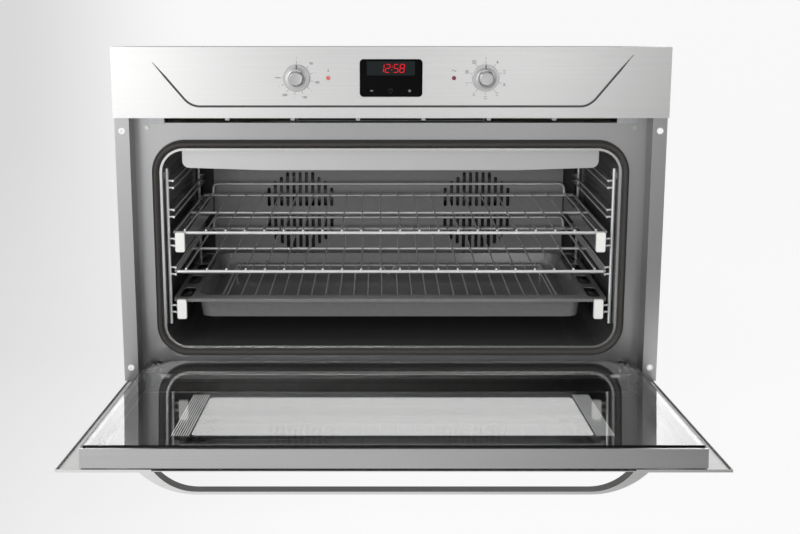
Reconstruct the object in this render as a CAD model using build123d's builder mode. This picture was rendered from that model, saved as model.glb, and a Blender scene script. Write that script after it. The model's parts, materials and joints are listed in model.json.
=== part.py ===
# A wide built-in electric oven with its drop-down door open and its shelves and tray home.
# Millimetres, +Z up, X across the front, the front towards -Y. The origin is on the housing's
# underside, midway across and midway between the back of the flanges and the back of the housing.
import os
from math import cos, radians, sin, sqrt

from build123d import *

os.makedirs("parts", exist_ok=True)

# Outside of the oven
front_width = 895.0
front_height = 595.0
housing_depth = 548.0  # back of the flanges to the back of the housing
top_inset = 42.0  # top of the front to the top of the housing, which it hides from the front
housing_inset = 19.5  # edge of the front to the side of the housing
sheet = 1.2  # pressed steel of the housing, frame, panel and door skin
enamel_sheet = 1.5  # enamelled steel of the cavity and the tray
play = 0.4  # gap between pieces that move past each other
weld_gap = 0.05  # between wires or strips that are spot welded, so that each stays a piece
seat_gap = 0.2  # gap between pieces that are fixed to each other

# Control panel
panel_height = 114.0
panel_return = 22.0  # how far its folded edges reach back
panel_standoff = 10.0  # panel front to flange front
knob_spacing = 302.0
knob_drop = 49.5  # top of the front to the middle of the knobs
crease_width = 1.8
crease_depth = 0.5
crease_low = 19.0  # panel bottom to the level part of the pressed line
display_width = 100.0
display_height = 60.0
display_corner = 6.0
pilot_spacing = 201.0
pilot_radius = 3.2

# Front frame with its recess for the door, and the cavity mouth in it
flange_width = 23.5
recess_depth = 40.0
frame_bottom = 20.0
flange_bottom = 34.0
vent_gap = 14.0  # panel bottom to frame top
frame_side = 44.0  # recess side to cavity mouth
frame_over = 46.0  # frame top to cavity mouth
cavity_floor = 84.0
cavity_depth = 420.0
mouth_corner = 37.0
lip_width = 4.0
lip_height = 5.0
gasket_width = 13.5
gasket_height = 12.4
fixing_inset = 11.5  # edge of the front to the fixing holes
fixing_low = 57.7
fixing_rise = 401.3
fixing_bore = 2.6
bush_radius = 5.3
bush_proud = 0.8

# Door
door_gap = 4.5  # panel bottom to door top
door_bottom = 27.0
door_thickness = 37.0
door_side_gap = 9.0  # recess side to the door's inner body
pivot_height = 45.0
pivot_back = 20.0  # outer face of the door to the hinge axis
open_angle = 85.0
glass = 4.0
skin_fold = 4.0
window_low = 103.0  # along the door from the hinge axis
window_high = 296.0
window_half = 290.0
pane_border = 28.0  # how far the outer pane reaches past its window on the left and right
grip_half = 320.0  # the shallow cut in the skin's top edge, behind the handle
grip_cut = 3.0
rail_thickness = 12.0
top_rail_depth = 26.5
top_rail_height = 7.0
handle_half = 341.0
handle_straight = 262.0
handle_standoff = 33.0
handle_bar = 4.0
handle_width = 20.0
handle_below_top = 18.0
hinge_spacing = 792.0
hinge_plate = 6.0
hinge_pin = 3.0
pin_clearance = 0.05

# Shelf ladders and what slides on them
upright_wire = 6.0
runner_wire = 4.0
level_heights = (144.0, 211.0, 261.0, 311.0, 361.0)
level_gap = 12.0  # between the two wires of a level
ladder_front = 16.0  # cavity mouth to the ladder's front upright
ladder_depth = 338.0
ladder_in = 14.0  # cavity side to the runner wires
upright_in = 4.0  # cavity side to the uprights
shelf_wire = 6.0
shelf_front = 12.0  # cavity mouth to the shelf's front bar
shelf_depth = 333.0
grid_wire = 3.0
grid_pitch = 32.8
grid_count = 20
edge_wire = 4.0
edge_wire_in = 18.4  # side rod to the thicker wire beside it
guard_rise = 22.0
guard_in = 19.0
guard_back = 9.0
slide_length = 345.0
slide_half = 13.0  # half height of the telescopic slides
slide_sheet = 1.5
slide_travel = 348.0
tab_width = 16.0
tab_height = 34.0
tab_thickness = 6.0

# Tray and its wire insert
tray_half = 370.0
tray_depth = 335.0
tray_side = 37.0  # width of the side flanges
tray_front_flange = 24.0
tray_back_flange = 12.0
tray_bowl = 40.0
tray_corner = 28.0
tray_taper = 9.0  # draft of the walls in degrees
tray_rim = 4.0
tray_hole_length = 60.0
tray_hole_width = 21.0
tray_hole_pitch = 83.0
insert_pitch = 25.0
insert_first = 14.0
insert_columns = 12
insert_wire = 2.6
insert_rod = 4.0
insert_rise = 19.0

# Hot air system
fan_chamber = 52.0
cover_half = 348.0
cover_drop = 5.0  # cavity roof to the top of the fan cover
cover_toe = 8.0  # how far the cover's foot leans into the cavity
cover_crease = 137.0
grille_spacing = 352.0
grille_height = 242.0
grille_radius = 78.0
grille_pitch = 12.5
grille_columns = 5  # each side of the middle one
grille_slot = 6.5
grille_band = 9.0  # half height of the solid band across the middle
vent_slot = 44.0
vent_slot_height = 8.0
vent_slot_pitch = 65.3
vent_slot_count = 10
vent_slot_level = 126.0
fan_radius = 70.0
fan_width = 24.0
fan_blades = 12
ring_radius = 86.0
element_wire = 6.5
shaft_radius = 4.0
motor_radius = 34.0
motor_length = 56.0

# Where the planes of the front lie
housing_height = front_height - top_inset
flange_back = -housing_depth / 2
housing_back = housing_depth / 2
flange_front = flange_back - sheet
panel_front = flange_front - panel_standoff
frame_front = flange_front + recess_depth
frame_back = frame_front + sheet
panel_bottom = front_height - panel_height
frame_top = panel_bottom - vent_gap
half_front = front_width / 2
half_recess = half_front - flange_width
half_housing = half_front - housing_inset
mouth_half = half_recess - frame_side
cavity_top = frame_top - frame_over
cavity_middle = (cavity_floor + cavity_top) / 2
cavity_back = frame_front + cavity_depth
chassis_front = panel_front + panel_return
knob_height = front_height - knob_drop
cover_front = cavity_back - fan_chamber


def facing(y):
    """The upright plane at depth y, seen from the front: X across, Z up, normal to the viewer."""
    return Plane.XZ.offset(-y)


def block(x, y, z, mode=Mode.ADD):
    """A box between the (low, high) pairs of each axis."""
    with Locations(((x[0] + x[1]) / 2, (y[0] + y[1]) / 2, (z[0] + z[1]) / 2)):
        Box(x[1] - x[0], y[1] - y[0], z[1] - z[0], mode=mode)


def side_pair(low, high, y, z, mode=Mode.ADD):
    """The same box on the left and on the right, low to high from the middle."""
    block((low, high), y, z, mode)
    block((-high, -low), y, z, mode)


def rod_along_y(x, y, z, radius, mode=Mode.ADD):
    """A round rod from front to back."""
    with Locations(Location((x, (y[0] + y[1]) / 2, z), (90, 0, 0))):
        Cylinder(radius, y[1] - y[0], mode=mode)


def rod_along_x(x, y, z, radius, mode=Mode.ADD):
    """A round rod from left to right."""
    with Locations(Location(((x[0] + x[1]) / 2, y, z), (0, 90, 0))):
        Cylinder(radius, x[1] - x[0], mode=mode)


def rod_along_z(x, y, z, radius, mode=Mode.ADD):
    """A round upright rod."""
    with Locations((x, y, (z[0] + z[1]) / 2)):
        Cylinder(radius, z[1] - z[0], mode=mode)


def mouth_outline(grow, mode=Mode.ADD):
    """The rounded outline of the cavity, grown on every side."""
    with Locations((0, cavity_middle)):
        RectangleRounded(
            2 * (mouth_half + grow),
            cavity_top - cavity_floor + 2 * grow,
            mouth_corner + grow,
            mode=mode,
        )


# Housing: base, two sides, top and back
with BuildPart() as housing_base:
    block((-half_housing, half_housing), (frame_back, housing_back), (0, sheet))
    block(
        (-half_housing + 2 * sheet, half_housing - 2 * sheet),
        (frame_back, frame_back + sheet),
        (sheet, frame_bottom - seat_gap),
    )
housing_base.part.label = "housing_base"
export_step(housing_base.part, "parts/housing_base.step")

inner_side = half_housing - sheet
screw_radius = 1.8
screw_hole = screw_radius + seat_gap
top_front = chassis_front + sheet + 44.0  # the housing's top starts behind the controls
screw_rows = (top_front + 14, 0, housing_back - 40)
screw_in = 7.0  # inside of the side to the screws
side_low_front = frame_front - 4.0
side_low_top = flange_bottom + 3.0
side_flange_top = housing_height - sheet
for side, name in ((-1, "housing_left_side"), (1, "housing_right_side")):
    with BuildPart() as housing_side:
        with BuildSketch(Plane.YZ.offset(side * half_housing)):
            with BuildLine():
                Polyline(
                    (side_low_front, sheet),
                    (housing_back, sheet),
                    (housing_back, housing_height),
                    (chassis_front + sheet, housing_height),
                    (chassis_front + sheet, frame_top),
                    (flange_back, frame_top),
                    (flange_back, side_low_top),
                    (side_low_front, side_low_top),
                    close=True,
                )
            make_face()
            with Locations((housing_back - 90, housing_height - 60)):
                with GridLocations(16, 0, 6, 1):
                    SlotOverall(40, 6, rotation=90, mode=Mode.SUBTRACT)
        extrude(amount=-side * sheet)
        flange_x = sorted((side * inner_side, side * (inner_side - 2 * screw_in)))
        flange_y = (top_front + 4 * sheet, housing_back - sheet)
        block(flange_x, flange_y, (side_flange_top - sheet, side_flange_top))
        for row in screw_rows:
            hole_z = (housing_height - 4, housing_height)
            rod_along_z(side * (inner_side - screw_in), row, hole_z, screw_hole, Mode.SUBTRACT)
    housing_side.part.label = name
    export_step(housing_side.part, f"parts/{name}.step")

with BuildPart() as housing_top:
    block(
        (-inner_side, inner_side),
        (top_front, housing_back),
        (housing_height - sheet, housing_height),
    )
    block(
        (2 * screw_in + 2 - inner_side, inner_side - 2 * screw_in - 2),
        (top_front, top_front + sheet),
        (housing_height - 8, housing_height - sheet),
    )
    for row in screw_rows:
        for x in (screw_in - inner_side, inner_side - screw_in):
            rod_along_z(x, row, (housing_height - 4, housing_height), screw_hole, Mode.SUBTRACT)
housing_top.part.label = "housing_top"
export_step(housing_top.part, "parts/housing_top.step")

inlet_x = 330.0
inlet_height = housing_height - 60.0
inlet_radius = 11.0
with BuildPart() as housing_back_panel:
    block(
        (-inner_side, inner_side),
        (housing_back - sheet, housing_back),
        (sheet, housing_height - 2 * sheet),
    )
    with BuildSketch(facing(housing_back)):
        with Locations((0, housing_height - 100)):
            with GridLocations(24, 60, 20, 2):
                SlotOverall(44, 8, rotation=90)
        with Locations((inlet_x, inlet_height)):
            Circle(inlet_radius)
    extrude(amount=sheet, mode=Mode.SUBTRACT)
housing_back_panel.part.label = "housing_back_panel"
export_step(housing_back_panel.part, "parts/housing_back_panel.step")

# Front frame: flanges, recess for the door, plate with the cavity mouth and the hinge slots
slot_half = hinge_plate / 2 + 2
slot_rise = 10.0
hinge_x = hinge_spacing / 2
tab_screw_x = 403.0
tab_screw_height = frame_top - 8.0
fixing_x = half_front - fixing_inset
flange_top = panel_bottom - weld_gap
duct_half = 405.0
duct_tab = 33.0  # width of the tabs at both ends of the slot
with BuildPart() as front_frame:
    block((-half_recess - sheet, half_recess + sheet), (frame_front, frame_back), (frame_bottom, frame_top))
    ear_height = (frame_top - sheet, flange_top)
    side_pair(duct_half + weld_gap, half_recess + sheet, (frame_front, frame_back), ear_height)
    side_pair(half_recess, half_recess + sheet, (flange_front, frame_front), (flange_bottom, flange_top))
    side_pair(half_recess + sheet, half_front, (flange_front, flange_back), (flange_bottom, flange_top))
    block((-half_recess, half_recess), (frame_back, frame_back + 24), (frame_top - sheet, frame_top))
    with BuildSketch(facing(frame_front)):
        mouth_outline(enamel_sheet + seat_gap)
        with Locations((-hinge_x, pivot_height), (hinge_x, pivot_height)):
            Rectangle(2 * slot_half, 2 * slot_rise)
        with Locations((-tab_screw_x, tab_screw_height), (tab_screw_x, tab_screw_height)):
            Circle(screw_radius + seat_gap)
    extrude(amount=-sheet, mode=Mode.SUBTRACT)
    with BuildSketch(facing(flange_front)):
        with Locations((0, fixing_low + fixing_rise / 2)):
            with GridLocations(2 * fixing_x, fixing_rise, 2, 2):
                Circle(bush_radius)
    extrude(amount=-sheet, mode=Mode.SUBTRACT)
front_frame.part.label = "front_frame"
export_step(front_frame.part, "parts/front_frame.step")

with BuildPart() as flange_bushes:
    with BuildSketch(facing(flange_front - bush_proud)):
        with Locations((0, fixing_low + fixing_rise / 2)):
            with GridLocations(2 * fixing_x, fixing_rise, 2, 2):
                Circle(bush_radius)
                Circle(fixing_bore, mode=Mode.SUBTRACT)
    extrude(amount=-(sheet + bush_proud))
flange_bushes.part.label = "flange_bushes"
export_step(flange_bushes.part, "parts/flange_bushes.step")

ladder_y = (frame_front + ladder_front, frame_front + ladder_front + ladder_depth)
eye_height = cavity_top - 45.0
ladder_screw = 2.0
screw_eyes = (ladder_y[0] + 18, ladder_y[1] - 18)
capillary = 1.2
bulb_x = -240.0
bulb_y = cover_front - 18.0

# Cavity: enamelled box with a rolled lip, its gasket and the insulation around it
fan_x = grille_spacing / 2
with BuildPart() as cavity_shell:
    with BuildSketch(facing(frame_front)):
        mouth_outline(enamel_sheet)
    extrude(amount=-(cavity_depth + enamel_sheet))
    with BuildSketch(facing(frame_front)):
        mouth_outline(lip_width)
    extrude(amount=lip_height)
    with BuildSketch(facing(frame_front - lip_height)):
        mouth_outline(0)
    extrude(amount=-(lip_height + cavity_depth), mode=Mode.SUBTRACT)
    for x in (-fan_x, fan_x):
        rod_along_y(x, (cavity_back - 1, cavity_back + 4), grille_height, shaft_radius + 1.5, Mode.SUBTRACT)
    rod_along_z(bulb_x, bulb_y, (cavity_middle, frame_top), capillary + 0.6, Mode.SUBTRACT)
    eye_hole = ladder_screw + seat_gap
    for y in screw_eyes:
        rod_along_x((-mouth_half - 4, mouth_half + 4), y, eye_height, eye_hole, Mode.SUBTRACT)
cavity_shell.part.label = "cavity_shell"
export_step(cavity_shell.part, "parts/cavity_shell.step")

gasket_in = lip_width + seat_gap
with BuildPart() as door_gasket:
    with BuildSketch(facing(frame_front)):
        mouth_outline(gasket_in + gasket_width)
        mouth_outline(gasket_in, Mode.SUBTRACT)
    extrude(amount=gasket_height)
    front_edges = door_gasket.edges().group_by(Axis.Y)[0]
    fillet(front_edges, radius=gasket_width * 0.45)
door_gasket.part.label = "door_gasket"
export_step(door_gasket.part, "parts/door_gasket.step")

insulation = 26.0
blanket_front = frame_back + 6
blanket_back = cavity_back - 30
blanket_in = enamel_sheet + seat_gap
blanket_out = enamel_sheet + insulation
blanket_half = mouth_half + blanket_in
element_room = 14.0  # depth of the hollow for the floor element
with BuildPart() as insulation_blanket:
    depth = (blanket_front, blanket_back)
    roof = (cavity_top + blanket_in + weld_gap, cavity_top + blanket_out)
    floor = (cavity_floor - blanket_out, cavity_floor - blanket_in - weld_gap)
    block((-mouth_half - blanket_out, mouth_half + blanket_out), depth, roof)
    block((-blanket_half, blanket_half), depth, floor)
    walls = (cavity_floor - blanket_in, cavity_top + blanket_in)
    side_pair(blanket_half, mouth_half + blanket_out, depth, walls)
    hollow = (frame_front + 55, blanket_back)
    block((-330, 330), hollow, (cavity_floor - element_room, cavity_floor), Mode.SUBTRACT)
    rod_along_z(bulb_x, bulb_y, (cavity_middle, frame_top), capillary + 0.6, Mode.SUBTRACT)
insulation_blanket.part.label = "insulation_blanket"
export_step(insulation_blanket.part, "parts/insulation_blanket.step")

# Fan cover at the back of the cavity: two round grilles and a row of slots in its leaning foot
cover_top = cavity_top - cover_drop
cover_foot = cavity_floor + 3.0
with BuildPart() as fan_cover:
    with BuildSketch(Plane.YZ):
        with BuildLine():
            Polyline(
                (cover_front, cover_top),
                (cover_front, cover_crease),
                (cover_front - cover_toe, cover_foot),
                (cavity_back - seat_gap, cover_foot),
                (cavity_back - seat_gap, cover_top),
                close=True,
            )
        make_face()
    extrude(amount=cover_half, both=True)
    with BuildSketch(Plane.YZ):
        with BuildLine():
            Polyline(
                (cover_front + sheet, cover_top - sheet),
                (cover_front + sheet, cover_crease),
                (cover_front - cover_toe + sheet, cover_foot + sheet),
                (cavity_back, cover_foot + sheet),
                (cavity_back, cover_top - sheet),
                close=True,
            )
        make_face()
    extrude(amount=cover_half - sheet, both=True, mode=Mode.SUBTRACT)
    with BuildSketch(facing(cover_front)):
        for column in range(-grille_columns, grille_columns + 1):
            across = column * grille_pitch
            reach = grille_radius if abs(column) <= 2 else sqrt(grille_radius**2 - across**2)
            slot = reach - grille_band
            rise = grille_band + slot / 2
            with Locations((0, grille_height + rise), (0, grille_height - rise)):
                with Locations((-fan_x + across, 0), (fan_x + across, 0)):
                    SlotOverall(slot, grille_slot, rotation=90)
    extrude(amount=-sheet, mode=Mode.SUBTRACT)
    with BuildSketch(facing(cover_front - cover_toe)):
        with Locations((0, vent_slot_level)):
            with GridLocations(vent_slot_pitch, 0, vent_slot_count, 1):
                SlotOverall(vent_slot, vent_slot_height)
    extrude(amount=-(cover_toe + 3 * sheet), mode=Mode.SUBTRACT)
fan_cover.part.label = "fan_cover"
export_step(fan_cover.part, "parts/fan_cover.step")

# Hot air fans: wheel on its shaft, ring element round it, motor behind the cavity
fan_front = cover_front + 12.0
motor_front = cavity_back + enamel_sheet + 3.0
for x, side in ((-fan_x, "left"), (fan_x, "right")):
    with BuildPart() as fan_wheel:
        rod_along_y(x, (fan_front + fan_width - 1.5, fan_front + fan_width), grille_height, fan_radius)
        rod_along_y(x, (fan_front + 4, fan_front + fan_width), grille_height, 12)
        with Locations(Location((x, fan_front + fan_width / 2 - 0.7, grille_height), (90, 0, 0))):
            with PolarLocations(fan_radius * 0.62, fan_blades):
                Box(fan_radius * 0.72, 1.5, fan_width - 1.4, rotation=(0, 0, 24))
        rod_along_y(x, (fan_front, motor_front + motor_length - 12), grille_height, shaft_radius)
    fan_wheel.part.label = f"{side}_fan_wheel"
    export_step(fan_wheel.part, f"parts/{side}_fan_wheel.step")

ring_y = fan_front + 14.0
with BuildPart() as ring_elements:
    for x in (-fan_x, fan_x):
        with BuildLine(facing(ring_y)) as ring:
            CenterArc((x, grille_height), ring_radius, 99, 342)
        with BuildSketch(Plane(origin=ring.line @ 0, z_dir=ring.line % 0)):
            Circle(element_wire / 2)
        sweep()
        for end in (ring.line @ 0, ring.line @ 1):
            rod_along_y(end.X, (ring_y, cavity_back - seat_gap), end.Z, element_wire / 2 - 0.25)
            with Locations(end):
                Sphere(element_wire / 2)
ring_elements.part.label = "ring_elements"
export_step(ring_elements.part, "parts/ring_elements.step")

with BuildPart() as fan_motors:
    for x in (-fan_x, fan_x):
        rod_along_y(x, (motor_front, motor_front + motor_length), grille_height, motor_radius)
        rod_along_y(x, (cavity_back + enamel_sheet, motor_front), grille_height, 18)
        rod_along_y(
            x,
            (cavity_back, motor_front + motor_length - 11),
            grille_height,
            shaft_radius + pin_clearance,
            Mode.SUBTRACT,
        )
fan_motors.part.label = "fan_motors"
export_step(fan_motors.part, "parts/fan_motors.step")

# Heating elements of the roof and the floor
roof_level = cavity_top - 16.0
roof_front = frame_front + 58.0
roof_back = cover_front - 26.0
roof_half = 300.0
with BuildPart() as grill_element:
    with BuildLine() as grill_path:
        FilletPolyline(
            (-30, roof_back + 20, roof_level),
            (-30, roof_front + 60, roof_level),
            (-150, roof_front + 60, roof_level),
            (-150, roof_back - 30, roof_level),
            (-roof_half, roof_back - 30, roof_level),
            (-roof_half, roof_front, roof_level),
            (roof_half, roof_front, roof_level),
            (roof_half, roof_back - 30, roof_level),
            (150, roof_back - 30, roof_level),
            (150, roof_front + 60, roof_level),
            (30, roof_front + 60, roof_level),
            (30, roof_back + 20, roof_level),
            radius=24,
        )
    with BuildSketch(Plane(origin=grill_path.line @ 0, z_dir=grill_path.line % 0)):
        Circle(element_wire / 2)
    sweep()
    for x in (-30, 30):
        with Locations((x, roof_back + 10, (roof_level + cavity_top) / 2)):
            Box(10, 6, cavity_top - roof_level - seat_gap)
grill_element.part.label = "grill_element"
export_step(grill_element.part, "parts/grill_element.step")

floor_element_level = cavity_floor - enamel_sheet - element_wire / 2 - seat_gap
with BuildPart() as floor_element:
    with BuildLine() as floor_path:
        FilletPolyline(
            (-40, cavity_back - 60, floor_element_level),
            (-40, frame_front + 140, floor_element_level),
            (-220, frame_front + 140, floor_element_level),
            (-220, cavity_back - 120, floor_element_level),
            (-310, cavity_back - 120, floor_element_level),
            (-310, frame_front + 70, floor_element_level),
            (310, frame_front + 70, floor_element_level),
            (310, cavity_back - 120, floor_element_level),
            (220, cavity_back - 120, floor_element_level),
            (220, frame_front + 140, floor_element_level),
            (40, frame_front + 140, floor_element_level),
            (40, cavity_back - 60, floor_element_level),
            radius=24,
        )
    with BuildSketch(Plane(origin=floor_path.line @ 0, z_dir=floor_path.line % 0)):
        Circle(element_wire / 2)
    sweep()
floor_element.part.label = "floor_element"
export_step(floor_element.part, "parts/floor_element.step")

# Light deflector across the mouth, under the front of the roof
deflector_y = frame_front + 20.0
with BuildPart() as grill_deflector:
    with BuildSketch(facing(deflector_y)):
        with BuildLine():
            upper = Polyline(
                (-350, cavity_top - 21),
                (-350, cavity_top - 2),
                (-338, cavity_top - seat_gap),
                (338, cavity_top - seat_gap),
                (350, cavity_top - 2),
                (350, cavity_top - 21),
            )
            right = ThreePointArc(
                upper @ 1,
                (346.5, cavity_top - 29.5),
                (338, cavity_top - 33),
            )
            lower = Polyline(
                right @ 1,
                (216, cavity_top - 37),
                (-216, cavity_top - 37),
                (-338, cavity_top - 33),
            )
            ThreePointArc(
                lower @ 1,
                (-346.5, cavity_top - 29.5),
                upper @ 0,
            )
        make_face()
    extrude(amount=-sheet)
    roof_fold = (cavity_top - seat_gap - sheet, cavity_top - seat_gap)
    block((-338, 338), (deflector_y, deflector_y + 22), roof_fold)
grill_deflector.part.label = "grill_deflector"
export_step(grill_deflector.part, "parts/grill_deflector.step")

# Wire ladders on the side walls, with an eye and a screw near each upright
runner_x = mouth_half - ladder_in
upright_x = mouth_half - upright_in
for side, name in ((-1, "left_ladder"), (1, "right_ladder")):
    with BuildPart() as ladder:
        for y in ladder_y:
            rod_along_z(side * upright_x, y, (level_heights[0] - 26, cavity_top - 33), upright_wire / 2)
        for level in level_heights:
            for z in (level - level_gap / 2, level + level_gap / 2):
                rod_along_y(side * runner_x, (ladder_y[0] - 3, ladder_y[1] + 3), z, runner_wire / 2)
                for y in ladder_y:
                    ends = sorted((side * runner_x, side * upright_x))
                    rod_along_x(ends, y, z, runner_wire / 2 - 0.2)
        eye_x = sorted((side * (upright_x + 1.6), side * (mouth_half - seat_gap)))
        for y, eye in zip(ladder_y, screw_eyes):
            along = sorted((y, eye + (6 if eye > y else -6)))
            block(eye_x, along, (eye_height - 6, eye_height + 6))
            rod_along_x(
                sorted((side * upright_x, side * mouth_half)),
                eye,
                eye_height,
                ladder_screw + seat_gap,
                Mode.SUBTRACT,
            )
    ladder.part.label = name
    export_step(ladder.part, f"parts/{name}.step")

with BuildPart() as ladder_screws:
    for side in (-1, 1):
        for eye in screw_eyes:
            head = sorted((side * (upright_x - 1.5), side * (upright_x + 1.4)))
            shank = sorted((side * upright_x, side * (mouth_half + enamel_sheet)))
            rod_along_x(head, eye, eye_height, 4.5)
            rod_along_x(shank, eye, eye_height, ladder_screw)
ladder_screws.part.label = "ladder_screws"
export_step(ladder_screws.part, "parts/ladder_screws.step")

# Telescopic slides: fixed, middle and sliding members on both sides of two levels
slide_front = frame_front + 5.0
slide_back = slide_front + slide_length
slide_out = runner_x - runner_wire / 2 - seat_gap
tray_level = level_heights[0]
shelf_level = level_heights[2]
middle_out = slide_out - slide_sheet - play
sliding_out = middle_out - slide_sheet - play
middle_half = slide_half - slide_sheet - play
sliding_half = middle_half - slide_sheet - play
slide_in = slide_out - 16.3


def channel(out, inner, half, level):
    """A C-shaped rail on each side, open towards the middle of the oven."""
    side_pair(out - slide_sheet, out, (slide_front, slide_back), (level - half, level + half))
    for z in ((level + half - slide_sheet, level + half), (level - half, level - half + slide_sheet)):
        side_pair(inner, out, (slide_front, slide_back), z)


with BuildPart() as fixed_slides:
    for level in (tray_level, shelf_level):
        channel(slide_out, slide_out - 8.5, slide_half, level)
fixed_slides.part.label = "fixed_slides"
export_step(fixed_slides.part, "parts/fixed_slides.step")

for level, name in ((tray_level, "tray"), (shelf_level, "shelf")):
    with BuildPart() as middle_slides:
        channel(middle_out, slide_out - 11.3, middle_half, level)
    middle_slides.part.label = f"{name}_middle_slides"
    export_step(middle_slides.part, f"parts/{name}_middle_slides.step")

    with BuildPart() as sliding_slides:
        channel(sliding_out, slide_in, sliding_half, level)
        along = (slide_front, slide_back)
        ledge = level + slide_half + 1
        side_pair(slide_in, slide_in + slide_sheet, along, (level - slide_half, ledge))
        side_pair(slide_in, slide_in + 6, along, (ledge - slide_sheet, ledge))
    sliding_slides.part.label = f"{name}_slides"
    export_step(sliding_slides.part, f"parts/{name}_slides.step")

    with BuildPart() as slide_tabs:
        with BuildSketch(facing(slide_front)):
            for side in (-1, 1):
                with Locations((side * (slide_in + tab_width / 2 - 1), level + 3)):
                    RectangleRounded(tab_width, tab_height, 3)
        extrude(amount=tab_thickness)
        fillet(slide_tabs.edges().group_by(Axis.Y)[0], radius=1.2)
    slide_tabs.part.label = f"{name}_tabs"
    export_step(slide_tabs.part, f"parts/{name}_tabs.step")


def wire_shelf(rod_height):
    """A frame of rods, wires welded on top of it and the guard raised over its back bar."""
    side = runner_x
    first = frame_front + shelf_front
    last = first + shelf_depth - 3
    closing = last + guard_back - 3
    guard = side - guard_in
    thinner = shelf_wire / 2 - 0.2
    for x in (-side, side):
        rod_along_y(x, (first - 3, closing + 3), rod_height, shelf_wire / 2)
    for y in (first, (first + last) / 2, last, closing):
        rod_along_x((-side, side), y, rod_height, thinner)
    top = rod_height + thinner + weld_gap
    wire_height = top + grid_wire / 2
    for number in range(grid_count):
        across = (number - (grid_count - 1) / 2) * grid_pitch
        rod_along_y(across, (first - 2, last + 2), wire_height, grid_wire / 2)
    for x in (edge_wire_in - side, side - edge_wire_in):
        rod_along_y(x, (first - 2, last + 2), top + edge_wire / 2, edge_wire / 2)
    for x in (-guard, guard):
        rod_along_z(x, closing, (top, rod_height + guard_rise), thinner - 0.2)
    rod_along_x((-guard - 4, guard + 4), closing, rod_height + guard_rise, shelf_wire / 2)


lower_rod = level_heights[1] - level_gap / 2 + runner_wire / 2 + play + shelf_wire / 2
upper_rod = shelf_level + slide_half + 1 + shelf_wire / 2
for name, height in (("lower_shelf", lower_rod), ("upper_shelf", upper_rod)):
    with BuildPart() as shelf:
        wire_shelf(height)
    shelf.part.label = name
    export_step(shelf.part, f"parts/{name}.step")

# Baking tray: pressed bowl, flange with hand holes, rim folded down on to the slides
tray_front = frame_front + 8.0
tray_back = tray_front + tray_depth
rim_top = tray_level + slide_half + 1 + tray_rim + enamel_sheet
bowl_front = tray_front + tray_front_flange
bowl_back = tray_back - tray_back_flange
bowl_half = tray_half - tray_side
bowl_middle = (bowl_front + bowl_back) / 2
tray_middle = (tray_front + tray_back) / 2
rim_corner = 9.0
with BuildPart() as baking_tray:
    with BuildSketch(Plane.XY.offset(rim_top)):
        with Locations((0, tray_middle)):
            RectangleRounded(2 * tray_half, tray_depth, rim_corner)
    extrude(amount=-enamel_sheet)
    with BuildSketch(Plane.XY.offset(rim_top - enamel_sheet)):
        with Locations((0, tray_middle)):
            RectangleRounded(2 * tray_half, tray_depth, rim_corner)
            RectangleRounded(
                2 * (tray_half - enamel_sheet),
                tray_depth - 2 * enamel_sheet,
                rim_corner - enamel_sheet,
                mode=Mode.SUBTRACT,
            )
    extrude(amount=-tray_rim)
    with BuildSketch(Plane.XY.offset(rim_top)):
        with Locations((0, bowl_middle)):
            RectangleRounded(
                2 * (bowl_half + enamel_sheet),
                bowl_back - bowl_front + 2 * enamel_sheet,
                tray_corner,
            )
    extrude(amount=-tray_bowl, taper=tray_taper)
    with BuildSketch(Plane.XY.offset(rim_top)):
        with Locations((0, bowl_middle)):
            RectangleRounded(2 * bowl_half, bowl_back - bowl_front, tray_corner - enamel_sheet)
    extrude(amount=enamel_sheet - tray_bowl, taper=tray_taper, mode=Mode.SUBTRACT)
    with BuildSketch(Plane.XY.offset(rim_top)):
        with Locations((0, tray_middle)):
            with GridLocations(2 * tray_half - tray_side, tray_hole_pitch, 2, 4):
                RectangleRounded(tray_hole_width, tray_hole_length, 8)
    extrude(amount=-enamel_sheet, mode=Mode.SUBTRACT)
baking_tray.part.label = "baking_tray"
export_step(baking_tray.part, "parts/baking_tray.step")

# Wire insert in the tray: frame rods, thin wires, a V foot at the middle of each long rod, four legs
bowl_floor = rim_top - tray_bowl + enamel_sheet
insert_level = bowl_floor + insert_rise
insert_half = insert_first + (insert_columns - 1) * insert_pitch + 9
insert_reach = 128.0
with BuildPart() as tray_insert:
    for y in (bowl_middle - insert_reach, bowl_middle + insert_reach):
        rod_along_x((-insert_half, insert_half), y, insert_level, insert_rod / 2)
        for x in (-insert_half, insert_half):
            rod_along_z(x, y, (bowl_floor + seat_gap, insert_level), insert_rod / 2)
        with BuildLine() as foot:
            Polyline(
                (-13, y, insert_level),
                (-1.5, y, bowl_floor + 2),
                (1.5, y, bowl_floor + 2),
                (13, y, insert_level),
            )
        with BuildSketch(Plane(origin=foot.line @ 0, z_dir=foot.line % 0)):
            Circle(insert_wire / 2)
        sweep(transition=Transition.ROUND)
    edge_reach = (bowl_middle - insert_reach, bowl_middle + insert_reach)
    wire_level = insert_level + insert_rod / 2 + insert_wire / 2 - 0.3
    for x in (-insert_half, insert_half):
        rod_along_y(x, edge_reach, insert_level, insert_rod / 2)
    for number in range(insert_columns):
        for side in (-1, 1):
            across = side * (insert_first + number * insert_pitch)
            reach = (edge_reach[0] - 2, edge_reach[1] + 2)
            rod_along_y(across, reach, wire_level, insert_wire / 2)
tray_insert.part.label = "tray_insert"
export_step(tray_insert.part, "parts/tray_insert.step")

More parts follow.
